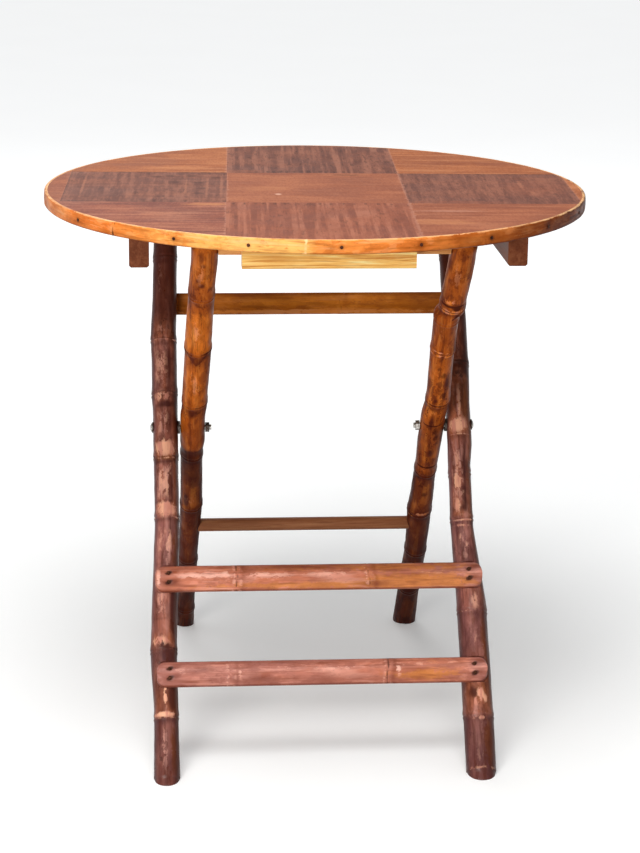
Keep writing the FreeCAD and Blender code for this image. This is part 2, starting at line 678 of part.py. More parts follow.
outer_pole_left = outer_pole("outer_pole_left", LEFT, 1.03, -0.12, OUTER_LEFT_RING_SHARES,
                             "Sizes.outer_left_top_shift")
outer_pole_right = outer_pole("outer_pole_right", RIGHT, 1.16, 0.07, OUTER_RIGHT_RING_SHARES,
                              "Sizes.outer_right_top_shift")
inner_pole_left = inner_pole("inner_pole_left", LEFT, 0.84, -0.20, INNER_LEFT_RING_SHARES,
                             "Sizes.inner_left_top_shift")
inner_pole_right = inner_pole("inner_pole_right", RIGHT, 1.04, 0.06, INNER_RIGHT_RING_SHARES,
                              "Sizes.inner_right_top_shift")


# Split-bamboo stretchers: hollow back with flat ends on the seats, crowned face, rounded ends
def sits(middle, facing):
    turn = "0" if facing == "front" else str(HALF_TURN)
    return AT_OUTER_FRAME, turned(z=middle), turned(axis="0; 0; 1", angle=turn)


HOLLOW_LENGTH = "(2 * (" + OUTER_X + " - " + STEM_RADIUS + " - Sizes.hollow_end))"


def stretcher(label, middle, facing, length, width, side, crown, corner, joint_shares):
    body = new_body(label)
    sketch = new_sketch(body, "YZ_Plane")
    half = "(" + width + " / 2)"
    add_crowned(sketch, half, side, crown)
    bar = pad(body, sketch, length)
    rounded(body, bar, corner, is_short_corner)
    hollow = new_sketch(body, "YZ_Plane")
    add_bow(hollow, "(" + half + " - Sizes.hollow_wall)", "Sizes.hollow_depth")
    pocket(body, hollow, HOLLOW_LENGTH)
    # the cane's wall inside a joint closes the hollow there
    for share in joint_shares:
        joint = new_sketch(body, "YZ_Plane", str(share) + " * (" + length + ")")
        add_crowned(joint, half, side, "(" + crown + " + Sizes.slat_ring)")
        pad(body, joint, "Sizes.slat_ring_width")
    hole_x = "(" + OUTER_X + " - Sizes.nail_inset)"
    sink_level = "(" + crown + " - Sizes.nail_sink)"
    for across in (LEFT, RIGHT):
        for height in nail_heights("0"):
            drill(body, NAIL_HOLE, height, "XZ_Plane", "0", across + " * " + hole_x)
            drill(body, "Sizes.nail_head / 2 + Sizes.nail_fit", height, "XZ_Plane", sink_level,
                  across + " * " + hole_x, False, True)
    place(body, *sits(middle, facing), turned(y="0 - " + SEAT_LEVEL))
    return body


MOSTLY_SHARE = 0.5
STRAY_SHARE = 0.01


def is_short_corner(edge):
    # the corners of a stretcher run front to back
    first, last = edge.Vertexes[0].Point, edge.Vertexes[-1].Point
    run = last - first
    stray = abs(run.x) + abs(run.z)
    return abs(run.y) > MOSTLY_SHARE * edge.Length and stray < STRAY_SHARE * edge.Length


# Bamboo joints as shares of the stretcher's length, from its middle
UPPER_JOINT_SHARES = [-0.254, 0.151]
LOWER_JOINT_SHARES = [-0.281, 0.195]
CROSSBAR_JOINT_SHARES = [0.11]
front_stretcher_upper = stretcher("front_stretcher_upper", UPPER_AT, "front",
                                  "Sizes.outer_spread + 2 * Sizes.stretcher_upper_overhang",
                                  "Sizes.stretcher_upper_width", "Sizes.stretcher_side",
                                  "Sizes.stretcher_thickness", "Sizes.stretcher_corner", UPPER_JOINT_SHARES)
front_stretcher_lower = stretcher("front_stretcher_lower", LOWER_AT, "front",
                                  "Sizes.outer_spread + 2 * Sizes.stretcher_lower_overhang",
                                  "Sizes.stretcher_lower_width", "Sizes.stretcher_side",
                                  "Sizes.stretcher_thickness", "Sizes.stretcher_corner", LOWER_JOINT_SHARES)
back_crossbar = stretcher("back_crossbar", CROSSBAR_AT, "back",
                          "Sizes.outer_spread + 2 * Sizes.crossbar_overhang",
                          "Sizes.crossbar_width", "Sizes.crossbar_side",
                          "Sizes.crossbar_thickness", "Sizes.crossbar_corner", CROSSBAR_JOINT_SHARES)


# Stretcher nails in pairs, heads let into the crown
def nail_set(label, rails):
    pieces = []
    for middle, facing, crown in rails:
        face = "(" + SEAT_LEVEL + " + " + crown + " - Sizes.nail_sink)"
        for across in (LEFT, RIGHT):
            x = across + " * (" + OUTER_X + " - Sizes.nail_inset)"
            for height in nail_heights("0"):
                nail_spot = turned(x=x, y="0 - " + face, z=height, angle="0 - " + str(RIGHT_ANGLE))
                steps = (*sits(middle, facing), nail_spot)
                lift = turned(z="0 - Sizes.nail_head_height")
                tag = label + str(len(pieces))
                pieces.append(primitive("Cylinder", tag + "_head", *steps, lift,
                                        Radius="Sizes.nail_head / 2", Height="Sizes.nail_head_height"))
                pieces.append(primitive("Cylinder", tag + "_shank", *steps,
                                        Radius="Sizes.nail_shank / 2", Height="Sizes.nail_length"))
    return gather(label, pieces)


stretcher_nails = nail_set("stretcher_nails", [
    (UPPER_AT, "front", "Sizes.stretcher_thickness"),
    (LOWER_AT, "front", "Sizes.stretcher_thickness"),
])
crossbar_nails = nail_set("crossbar_nails", [(CROSSBAR_AT, "back", "Sizes.crossbar_thickness")])

# Crossing bolts with washer, spacer and nut
BOLT_OUTSIDE = "(" + OUTER_X + " + " + STEM_RADIUS + " + Sizes.washer_thickness)"
BOLT_LENGTH = "(Sizes.washer_thickness + 2 * Sizes.pole_diameter + Sizes.pole_gap" + \
    " + Sizes.play + Sizes.nut_height + Sizes.bolt_tail)"
BOLT_HOLE = "(Sizes.bolt_diameter / 2 + Sizes.tight_fit)"
NUT_SIDES = 6
HALF_CORNER = "(" + str(HALF_TURN) + " / " + str(NUT_SIDES) + ")"


def disc_with_hole(label, side, outside, diameter, thickness):
    disc = primitive("Cylinder", label + "_disc", turned(), Radius=diameter + " / 2", Height=thickness)
    hole = primitive("Cylinder", label + "_hole", turned(), Radius=BOLT_HOLE, Height=thickness)
    piece = boolean("Cut", label, disc, hole)
    lay_along_bolt(piece, side, outside)
    return piece


def lay_along_bolt(piece, side, outside):
    seat_place = aimed(side, outside, "Sizes.bolt_setback", BOLT_HEIGHT)
    place(piece, seat_place, turned(axis="0; 1; 0", angle=str(RIGHT_ANGLE)))


def crossing(suffix, side):
    bolt = headed_pin("pivot_bolt_" + suffix, "Sizes.bolt_head", "Sizes.bolt_head_height",
                      "Sizes.bolt_diameter", BOLT_LENGTH)
    place(bolt, aimed(side, BOLT_OUTSIDE, "Sizes.bolt_setback", BOLT_HEIGHT))
    washer = disc_with_hole("bolt_washer_" + suffix, side, BOLT_OUTSIDE,
                            "Sizes.washer_diameter", "Sizes.washer_thickness")
    spacer = disc_with_hole("pivot_spacer_" + suffix, side, "(" + OUTER_X + " - " + STEM_RADIUS + ")",
                            "Sizes.spacer_diameter", "Sizes.pole_gap - Sizes.play")
    block = doc.addObject("Part::Prism", "nut_block_" + suffix)
    block.Polygon = NUT_SIDES
    bind(block, Circumradius="Sizes.nut_width / 2 / cos(" + HALF_CORNER + ")", Height="Sizes.nut_height")
    hole = primitive("Cylinder", "nut_hole_" + suffix, turned(), Radius=BOLT_HOLE, Height="Sizes.nut_height")
    nut = boolean("Cut", "pivot_nut_" + suffix, block, hole)
    lay_along_bolt(nut, side, "(" + INNER_X + " - " + STEM_RADIUS + " - Sizes.play)")
    return [bolt, washer, spacer, nut]


crossings = crossing("left", LEFT) + crossing("right", RIGHT)

# Round rear stretcher of the inner frame
rear_stretcher = new_body("rear_stretcher")
dowel_sketch = new_sketch(rear_stretcher, "YZ_Plane")
add_circle(dowel_sketch, "Sizes.dowel_diameter / 2")
pad(rear_stretcher, dowel_sketch, "2 * (" + INNER_X + " - " + STEM_RADIUS + " + Sizes.dowel_depth)")
place(rear_stretcher, AT_INNER_FRAME, turned(z=DOWEL_AT))

# Top bar of the inner frame: upright slat with eased edges and round tenons
top_bar = new_body("inner_top_bar")
bar_sketch = new_sketch(top_bar, "YZ_Plane")
HALF_THICK = "(Sizes.top_bar_thickness / 2)"
HALF_TALL = "(Sizes.top_bar_height / 2)"
EASE = "Sizes.top_bar_edge"
PLUS = "1"
MINUS = "(0 - 1)"
bar_corners = []
for across, upright in ((PLUS, PLUS), (MINUS, PLUS), (MINUS, MINUS), (PLUS, MINUS)):
    first = (across + " * " + HALF_THICK, upright + " * (" + HALF_TALL + " - " + EASE + ")")
    second = (across + " * (" + HALF_THICK + " - " + EASE + ")", upright + " * " + HALF_TALL)
    bar_corners.extend([first, second] if across == upright else [second, first])
add_outline(bar_sketch, bar_corners)
BAR_DRIFT = "(Sizes.inner_right_top_shift - Sizes.inner_left_top_shift)"
BAR_SPAN = "(2 * " + INNER_X + " + " + BAR_DRIFT + " - Sizes.pole_diameter)"
pad(top_bar, bar_sketch, BAR_SPAN)
tenon_sketch = new_sketch(top_bar, "YZ_Plane")
add_circle(tenon_sketch, "Sizes.tenon_diameter / 2")
pad(top_bar, tenon_sketch, BAR_SPAN + " + 2 * Sizes.tenon_depth")
BAR_MIDDLE = "((Sizes.inner_left_top_shift + Sizes.inner_right_top_shift) / 2)"
place(top_bar, turned(x=BAR_MIDDLE, y=BAR_FRONT, z=HINGE_HEIGHT))

NODES = [
    top_board, band_front, band_back, edge_nails, *veneers, batten_left, batten_right, stop_rail,
    hinge_pin_left, hinge_pin_right,
    outer_pole_left, outer_pole_right, front_stretcher_upper, front_stretcher_lower, back_crossbar,
    stretcher_nails, crossbar_nails, *crossings,
    inner_pole_left, inner_pole_right, rear_stretcher, top_bar,
]

doc.recompute()
for thing in doc.Objects:
    if "Invalid" in thing.State or "Error" in thing.State:
        raise RuntimeError(thing.Name + " is " + str(thing.State))

os.makedirs("parts", exist_ok=True)
for node in NODES:
    shape = node.Shape
    if shape.isNull() or not shape.isValid():
        raise RuntimeError(node.Label + " has no valid shape")
    shape.exportStep("parts/" + node.Label + ".step")
    box = shape.BoundBox
    print(node.Label, len(shape.Solids), round(shape.Volume), [round(v, 1) for v in (
        box.XMin, box.XMax, box.YMin, box.YMax, box.ZMin, box.ZMax)])
print(len(NODES), "nodes")
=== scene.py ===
import json
import math
from collections import namedtuple

import bpy
import numpy as np
from mathutils import Matrix, Vector


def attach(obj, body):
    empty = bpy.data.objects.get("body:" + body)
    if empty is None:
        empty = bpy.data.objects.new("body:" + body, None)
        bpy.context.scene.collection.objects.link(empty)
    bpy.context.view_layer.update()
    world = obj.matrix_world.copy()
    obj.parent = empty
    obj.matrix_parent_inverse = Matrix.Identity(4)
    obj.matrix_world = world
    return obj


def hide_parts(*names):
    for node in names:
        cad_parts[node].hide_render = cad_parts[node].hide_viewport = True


# Round folding table: bamboo frames, split-bamboo rails, parquetry top. Lengths in metres.
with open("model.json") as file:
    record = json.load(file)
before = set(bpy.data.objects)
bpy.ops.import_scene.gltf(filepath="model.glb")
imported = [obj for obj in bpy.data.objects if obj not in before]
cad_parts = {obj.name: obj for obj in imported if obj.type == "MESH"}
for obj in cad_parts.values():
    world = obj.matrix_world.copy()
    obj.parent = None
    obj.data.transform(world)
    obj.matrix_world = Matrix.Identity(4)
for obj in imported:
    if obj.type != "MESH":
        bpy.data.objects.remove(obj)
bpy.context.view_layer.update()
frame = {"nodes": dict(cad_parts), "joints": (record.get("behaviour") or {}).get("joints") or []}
NODES = frame["nodes"]
JOINTS = {joint["name"]: joint for joint in frame["joints"]}
MM = 0.001

# The two hinge lines give the lean and the length of the poles
BOLT = Vector(JOINTS["leg_fold"]["pos_m"])
HINGE = Vector(JOINTS["top_tilt"]["pos_m"])
LEAN = math.atan2(HINGE.y - BOLT.y, HINGE.z - BOLT.z)
BOLT_TO_FOOT = BOLT.z / math.cos(LEAN)
BOLT_TO_END = (HINGE.z - BOLT.z) / math.cos(LEAN)
POLE_LENGTH = BOLT_TO_FOOT + BOLT_TO_END
POLE_DIAMETER = 28.6 * MM
STEM = POLE_DIAMETER / 2
OUTER_X = 341.4 * MM / 2
INNER_X = OUTER_X - POLE_DIAMETER - 2.8 * MM
RIM_RADIUS = 305 * MM
BAND_THICKNESS = 4 * MM
TOP_LEVEL = 611 * MM
TOP_THICKNESS = 15 * MM
PATTERN_TURN = math.radians(-2.4)
PATCH_WIDTH = 200 * MM
PATCH_DEPTH = 192 * MM


# Node materials

RAGGED_EDGE = 2.1
PATCH_GRAIN = 160


class Finish:
    """One material and short ways to add nodes to it."""

    def __init__(self, name, roughness=0.45, coat=0.0, coat_roughness=0.2, specular=0.5, metallic=0.0):
        self.material = bpy.data.materials.new(name)
        self.material.use_nodes = True
        self.tree = self.material.node_tree
        self.shader = self.tree.nodes["Principled BSDF"]
        self.shader.inputs["Roughness"].default_value = roughness
        self.shader.inputs["Coat Weight"].default_value = coat
        self.shader.inputs["Coat Roughness"].default_value = coat_roughness
        self.shader.inputs["Specular IOR Level"].default_value = specular
        self.shader.inputs["Metallic"].default_value = metallic

    def node(self, kind, sockets=(), **settings):
        """Adds a node. sockets are names or numbers of its inputs, each with a value or a link."""
        made = self.tree.nodes.new("ShaderNode" + kind)
        for key, value in settings.items():
            setattr(made, key, value)
        for key, value in dict(sockets).items():
            self.feed(made.inputs[key], value)
        return made

    def feed(self, socket, value):
        if isinstance(value, bpy.types.NodeSocket):
            self.tree.links.new(value, socket)
        else:
            socket.default_value = value

    def math(self, operation, first, second=0.0, clamp=False):
        return self.node("Math", {0: first, 1: second}, operation=operation, use_clamp=clamp).outputs[0]

    def times(self, first, second, clamp=False):
        return self.math("MULTIPLY", first, second, clamp)

    def centred(self, pattern):
        """A pattern around a half, moved to lie around 0."""
        return self.math("SUBTRACT", pattern, 0.5)

    def mask(self, name):
        return self.node("Attribute", attribute_name=name).outputs["Fac"]

    def place(self, name=None, scale=(1, 1, 1), turn=0.0, shift=(0, 0, 0)):
        """A piece's own straight coordinates, or its place in the table at rest, stretched and turned."""
        if name:
            source = self.node("Attribute", attribute_name=name).outputs["Vector"]
        else:
            source = self.node("TexCoord").outputs["Object"]
        if turn:
            source = self.node("Mapping", {"Vector": source, "Rotation": (0, 0, turn)}).outputs[0]
        return self.node("Mapping", {"Vector": source, "Location": shift, "Scale": scale}).outputs[0]

    def patch(self, middle, half, turn):
        """1 inside an oval on the tabletop, with a ragged soft edge."""
        scale = (1 / half[0], 1 / half[1], 0)
        where = self.place(scale=scale, turn=turn, shift=(-middle[0] / half[0], -middle[1] / half[1], 0))
        made = self.node("VectorMath", {0: where}, operation="LENGTH")
        uneven = self.centred(self.noise(self.place(scale=(0.5, 1, 1), turn=turn), PATCH_GRAIN, 3, 0.6))
        away = self.math("ADD", made.outputs["Value"], self.times(uneven, RAGGED_EDGE))
        return self.span(away, 1.25, 0.45)

    def noise(self, where, scale, detail=4.0, rough=0.55, twist=0.0):
        sockets = {"Vector": where, "Scale": scale, "Detail": detail, "Roughness": rough, "Distortion": twist}
        return self.node("TexNoise", sockets).outputs["Fac"]

    def spots(self, where, scale, low, high):
        """Round specks: 1 inside, 0 outside."""
        made = self.node("TexVoronoi", {"Vector": where, "Scale": scale})
        return self.span(made.outputs["Distance"], high, low)

    def span(self, value, low, high, out_low=0.0, out_high=1.0):
        if low > high:
            low, high, out_low, out_high = high, low, out_high, out_low
        sockets = {"Value": value, "From Min": low, "From Max": high, "To Min": out_low, "To Max": out_high}
        return self.node("MapRange", sockets, clamp=True, interpolation_type="SMOOTHSTEP").outputs[0]

    def mix(self, share, first, second):
        ends = [end if isinstance(end, bpy.types.NodeSocket) else (*end, 1.0) for end in (first, second)]
        return self.node("Mix", {0: share, 6: ends[0], 7: ends[1]}, data_type="RGBA").outputs[2]

    def veil(self, tone, *layers):
        """Lays colours over the tone, each one as its pattern goes from low to high."""
        for pattern, low, high, strength, colour in layers:
            tone = self.mix(self.span(pattern, low, high, 0.0, strength), tone, colour)
        return tone

    def colour(self, value):
        self.feed(self.shader.inputs["Base Color"], value)

    def gloss(self, value):
        self.feed(self.shader.inputs["Roughness"], value)

    def bump(self, *layers):
        """Layers are (height, depth in metres); the first lies deepest."""
        normal = None
        for height, depth in layers:
            made = self.node("Bump", {"Strength": 1.0, "Distance": depth, "Height": height})
            if normal is not None:
                self.feed(made.inputs["Normal"], normal)
            normal = made.outputs[0]
        self.feed(self.shader.inputs["Normal"], normal)


# Bamboo skin. Painted masks say where it is stained, purplish, golden, worn or cracked, and where painted
# shade, painted highlights and painted reflections lie; noise along the cane tears their edges and adds
# streaks, blotches and specks
def bamboo(name, warm, cool, golden, highlight_and_bare_tint, worn, gap, roughness, coat, specular):
    f = Finish(name, roughness=roughness, coat=coat, specular=specular)

    def grown(stretch, scale, detail, rough, twist=0.0, shift=(0, 0, 0)):
        """Noise drawn out along the cane."""
        return f.noise(f.place("straight", scale=(1, 1, stretch), shift=shift), scale, detail, rough, twist)

    fibre = grown(0.03, 650, 3, 0.6)
    streak = grown(0.09, 170, 3, 0.55, 0.2)
    cloud = grown(0.45, 58, 4, 0.6, 0.4)
    patchy = grown(0.4, 92, 3, 0.5, 0.3, (0.3, 0.1, 0.2))
    grime = grown(0.5, 190, 5, 0.7, 0.3)

    def torn(mask, tear=2.8):
        ragged = f.span(f.math("ADD", f.mask(mask), f.times(f.centred(grime), tear)), 0.28, 0.52)
        return f.times(ragged, f.span(f.mask(mask), 0.02, 0.75), clamp=True)

    # the darkest stain and painted shade stay even, the paler tones drift
    restless = f.span(f.mask("stain_and_shade"), 0.55, 1.0, 1.3, 0.3)
    stain_and_shade = f.math("ADD", f.mask("stain_and_shade"), f.times(f.centred(cloud), restless), clamp=True)
    coolness = f.math("ADD", f.mask("cool"), f.centred(patchy), clamp=True)
    shade = f.times(stain_and_shade, 0.93)
    gleam = f.mix(shade, highlight_and_bare_tint, warm[1])
    tone = f.mix(coolness, f.mix(stain_and_shade, *warm), f.mix(stain_and_shade, *cool))
    tone = f.veil(tone, (patchy, 0.54, 0.58, 0.25, warm[1]), (cloud, 0.44, 0.4, 0.18, gleam))
    tone = f.mix(f.times(torn("gold"), 0.9), tone, f.mix(shade, golden, warm[1]))
    # painted highlights and painted reflections, and the pale joint lines of the rails, in the highlight tone
    # streaked with the worn tone
    tone = f.mix(f.times(torn("highlight_and_pale_line"), 0.85), tone, f.mix(f.span(streak, 0.35, 0.65), highlight_and_bare_tint, worn))
    tone = f.veil(tone, (fibre, 0.5, 0.76, 0.4, warm[1]), (streak, 0.54, 0.68, 0.45, gleam),
                  (streak, 0.46, 0.33, 0.5, warm[1]))
    blotch = f.span(grown(0.42, 125, 4, 0.6, 0.5, (0.2, 0.4, 0.1)), 0.535, 0.585)
    tone = f.mix(f.times(f.times(blotch, f.mask("fleck")), 0.6), tone, warm[1])
    speck = f.spots(f.place("straight", scale=(1, 1, 0.6), shift=(0.1, 0.2, 0.3)), 330, 0.14, 0.3)
    speck = f.times(f.times(speck, f.span(patchy, 0.44, 0.56)), f.mask("fleck"))
    tone = f.mix(f.times(speck, 0.8), tone, gap)
    bare = f.mix(f.span(streak, 0.4, 0.6), worn, f.mix(0.5, highlight_and_bare_tint, warm[0]))
    tone = f.mix(torn("worn"), tone, bare)
    crack = f.times(torn("joint", 2.2), 0.9)
    f.colour(f.mix(crack, tone, gap))
    rough = f.span(patchy, 0.3, 0.7, roughness - 0.08, roughness + 0.12)
    f.gloss(f.math("ADD", rough, f.times(crack, 0.3)))
    f.bump((cloud, 1.0 * MM), (streak, 0.3 * MM), (fibre, 0.08 * MM), (grime, 0.12 * MM))
    return f.material


# Planed wood, grain along one axis of the table
def timber(name, base, deep, pale, grain="X", scale=1.0, figure=0.5, speck=0.2, roughness=0.45, coat=0.05,
           relief=0.1, twist=0.9, specular=0.3):
    f = Finish(name, roughness=roughness, coat=coat, coat_roughness=0.25, specular=specular)
    long, short = 0.045 * scale, scale
    stretch = {"X": (long, short, short), "Y": (short, long, short)}[grain]
    where = f.place(scale=stretch)
    fibre = f.noise(where, 520, 4, 0.65)
    band = f.noise(where, 95, 5, 0.62, twist)
    cloud = f.noise(f.place(scale=tuple(math.sqrt(s) for s in stretch)), 26, 5, 0.6, 0.7)
    tone = f.veil(base, (band, 0.48, 0.66, figure, deep), (band, 0.5, 0.34, figure, pale),
                  (fibre, 0.5, 0.74, 0.5, deep), (fibre, 0.5, 0.28, 0.35, pale),
                  (cloud, 0.48, 0.68, 0.35, deep))
    pores = f.spots(f.place(scale=tuple(4 * s if s == long else s for s in stretch)), 900, 0.1, 0.22)
    f.colour(f.mix(f.times(pores, speck), tone, deep))
    f.gloss(f.span(band, 0.3, 0.7, roughness + 0.05, roughness - 0.05))
    f.bump((cloud, 0.5 * MM), (band, relief * MM), (fibre, 0.05 * MM))
    return f.material


def veneer(name, tones, grain, edges, seams, figure=0.4, ribs=0.0, ticks=0.0, hatch=0.0, grit=0.35, marks=()):
    """Sawn sheet on the top. edges and seams are (west, east, south, north): where, and how dark or pale."""
    base, deep, pale = tones
    turn = -PATTERN_TURN
    f = Finish(name, roughness=0.5, specular=0.05)

    def sheet(across=1, down=1):
        """Places in the pattern, drawn out from west to east or from south to north."""
        return f.place(turn=turn, scale=(across, down, 1))

    def lengthened(share):
        return sheet(across=share) if grain == "X" else sheet(down=share)

    fibre = f.noise(lengthened(0.06), 640, 3, 0.6)
    band = f.noise(lengthened(0.1), 85, 3, 0.5, 0.2)
    soft = f.noise(sheet(across=0.6), 20, 3, 0.5)
    fine = f.noise(sheet(down=0.3), 420, 3, 0.7)
    tone = f.veil(base, (soft, 0.42, 0.6, 0.45, deep), (soft, 0.46, 0.34, 0.4, pale),
                  (band, 0.5, 0.66, figure, deep), (band, 0.5, 0.36, figure, pale),
                  (fibre, 0.52, 0.72, 0.4, deep), (fibre, 0.48, 0.3, 0.3, pale),
                  (fine, 0.5, 0.66, grit, deep), (fine, 0.48, 0.34, 0.7 * grit, pale))
    height = band
    if ribs:
        # saw marks: straight ribs from front to back, faint here and strong there
        ridge = f.noise(sheet(down=0.03), 118, 2, 0.6)
        gate = f.span(f.noise(sheet(down=0.6), 42, 3, 0.6), 0.38, 0.62, 0.25, 1.0)
        for low, high, colour in ((0.5, 0.58, deep), (0.49, 0.41, pale)):
            tone = f.mix(f.times(f.span(ridge, low, high, 0.0, ribs), gate), tone, colour)
        height = ridge
    if ticks:
        dash = f.noise(sheet(down=0.16), 260, 3, 0.55)
        gate = f.span(f.noise(sheet(), 36, 3, 0.6), 0.4, 0.6)
        tone = f.mix(f.times(f.span(dash, 0.54, 0.64, 0.0, ticks), gate), tone, SOOT)
    if hatch:
        brush = f.noise(sheet(down=0.14), 300, 2, 0.5)
        tone = f.veil(tone, (brush, 0.5, 0.64, hatch, deep), (brush, 0.48, 0.36, hatch, pale))
    for middle_u, middle_v, half_u, half_v, strength, colour in marks:
        mark = f.patch((middle_u * MM, middle_v * MM), (half_u * MM, half_v * MM), turn)
        mark = f.times(f.times(mark, strength), f.span(fibre, 0.35, 0.58, 0.45, 1.0))
        tone = f.mix(mark, tone, colour)
    split = f.node("SeparateXYZ", {0: sheet()})
    u, v = split.outputs[0], split.outputs[1]
    ragged = f.times(f.centred(f.noise(f.place(), 130, 4, 0.65)), 13 * MM)
    west, east, south, north = edges
    reach = [(u, west), (east, u), (v, south), (north, v)]
    for (far, near), seam in zip(reach, seams):
        if seam:
            away = f.math("ADD", f.math("SUBTRACT", far, near), ragged)
            tone = f.veil(tone, (away, 1.9 * MM, 0.5 * MM, abs(seam), SEAM_PALE if seam > 0 else SOOT))
    f.colour(tone)
    f.gloss(f.span(soft, 0.3, 0.7, 0.54, 0.46))
    f.bump((height, 0.12 * MM), (fibre, 0.05 * MM))
    return f.material


RUST = (0.22, 0.09, 0.04)


def metal(name, base, deep, roughness, rust):
    f = Finish(name, roughness=roughness, metallic=0.85)
    cloud = f.noise(f.place(), 420, 5, 0.65)
    fine = f.noise(f.place(), 2600, 3, 0.6)
    tone = f.mix(f.span(cloud, 0.42, 0.62), base, deep)
    f.colour(f.veil(tone, (fine, 0.5, 0.7, rust, RUST)))
    f.gloss(f.span(cloud, 0.3, 0.7, roughness - 0.1, roughness + 0.2))
    f.bump((cloud, 0.15 * MM), (fine, 0.04 * MM))
    return f.material


# Meshes

def closed_tube(points):
    """Faces of a grid of closed rings, with a flat lid at each end."""
    first = np.arange(points.shape[0] * points.shape[1]).reshape(points.shape[:2])
    second = np.roll(first, -1, axis=1)
    sides = np.stack([first[:-1], second[:-1], second[1:], first[1:]], axis=-1).reshape(-1, 4)
    return sides.tolist() + [first[0, ::-1].tolist(), first[-1].tolist()]


def placed(name, data):
    made = bpy.data.objects.new(name, data)
    bpy.context.scene.collection.objects.link(made)
    return made


CREASE = math.radians(40)


def piece(name, points, faces, material, body, stands_for, straight, masks):
    mesh = bpy.data.meshes.new(name)
    mesh.from_pydata([tuple(p) for p in np.reshape(points, (-1, 3))], [], faces)
    mesh.validate()
    mesh.polygons.foreach_set("use_smooth", [True] * len(mesh.polygons))
    mesh.set_sharp_from_angle(angle=CREASE)
    layer = mesh.attributes.new("straight", "FLOAT_VECTOR", "POINT")
    layer.data.foreach_set("vector", np.asarray(straight, np.float32).reshape(-1))
    for key, values in masks.items():
        layer = mesh.attributes.new(key, "FLOAT", "POINT")
        layer.data.foreach_set("value", np.clip(values, 0, 1).astype(np.float32).reshape(-1))
    mesh.materials.append(material)
    made = placed(name, mesh)
    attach(made, body)
    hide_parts(*stands_for)


def bell(distance, width):
    return np.exp(-(distance / width) ** 2)


def ripple(first, second, seed, waves=6):
    """Smooth uneven surface between -1 and 1, the same on every run."""
    chance = np.random.default_rng(seed)
    total = np.zeros(np.broadcast(first, second).shape)
    for _ in range(waves):
        turns = chance.integers(1, 4)
        total += np.sin(turns * first + chance.uniform(0.6, 2.2) * second + chance.uniform(0, 2 * math.pi))
    return total / waves


def plateau(distance, width):
    """Like a bell, with a flatter top and steeper sides."""
    return np.exp(-np.abs(distance / width) ** 3)


def oval(first, second):
    """A plateau over two distances that are given as shares of their widths."""
    return plateau(np.hypot(first, second), 1.0)


class Paint:
    """Masks on one piece of bamboo, from tones along it and from marks put on one by one."""
    ALONG = ("stain_and_shade", "cool", "gold", "fleck")
    LOCAL = ("highlight_and_pale_line", "worn", "joint")

    def __init__(self, along, tones):
        places = [tone[0] for tone in tones]
        self.masks = {name: np.zeros_like(along) for name in self.LOCAL}
        for column, name in enumerate(self.ALONG, start=1):
            self.masks[name] = np.interp(along, places, [tone[column] for tone in tones])

    def mark(self, name, level):
        """Adds to a tone that runs along the piece, or keeps the stronger of two local marks."""
        if name in self.ALONG:
            self.masks[name] = np.clip(self.masks[name] + level, 0, 1)
        else:
            self.masks[name] = np.maximum(self.masks[name], level)

    def ring(self, away, layers, dark, pale):
        """Colours of one bamboo joint with a dark and a pale line."""
        for name, share, strength, middle, width in layers:
            level = dark if share == "dark" else pale
            self.mark(name, strength * level * bell(away - middle * MM, width * MM))


def relief(away, layers):
    """Ridges and grooves of one bamboo joint."""
    return sum(height * MM * bell(away - middle * MM, width * MM) for height, middle, width in layers)


# Bamboo joints. Relief layers are (height, distance from the middle, width) in mm; colour layers are
# (mask, line they belong to, strength, distance, width)
POLE_RELIEF = [(0.75, 1.5, 5.0), (0.4, -2.2, 1.0), (-0.55, -0.2, 1.1)]
POLE_RING = [("joint", "dark", 1.0, -0.2, 1.3), ("stain_and_shade", "dark", 0.5, -5, 4),
             ("worn", "pale", 1.0, -2.6, 1.3), ("worn", "pale", 0.4, 3.5, 3.0)]
SLAT_RELIEF = [(0.55, 2.0, 5.0), (0.45, -2.4, 1.2), (-0.6, 0, 1.3)]
SLAT_RING = [("joint", "dark", 1.0, 0, 1.2), ("stain_and_shade", "dark", 0.5, 7, 3.0),
             ("highlight_and_pale_line", "pale", 1.0, -3.0, 2.4), ("highlight_and_pale_line", "pale", 0.8, 4.5, 2.8)]
BAND_RELIEF = [(0.25, 2.0, 5.0), (0.3, -2.2, 1.2), (-0.45, 0, 1.2)]
BAND_RING = [("joint", "dark", 1.0, 0, 1.3), ("worn", "pale", 1.0, -3, 2)]


# Poles

POLE_COLUMNS = 72
POLE_STEP = 1.25 * MM
PROFILE_STEP = 0.5 * MM
PROFILE_OVERRUN = 0.03
FOOT_OVERRUN = 0.02
SMOOTHING_STEPS = 12
FOOT_REACH = 0.045
FOOT_LIP = 1.6 * MM
DOME_RINGS = 10
DOME_TURN, DOME_RISE = 0.96, 0.985
RING_HALF = 0.0125 * POLE_LENGTH
PLAIN_HALF = 0.0334 * POLE_LENGTH
RING_SWELL = 1.7 * MM
END_ROUND = 0.3 * MM
SEAT_LEVEL = STEM - 1.6 * MM
SEAT_MARGIN = 0.6 * MM

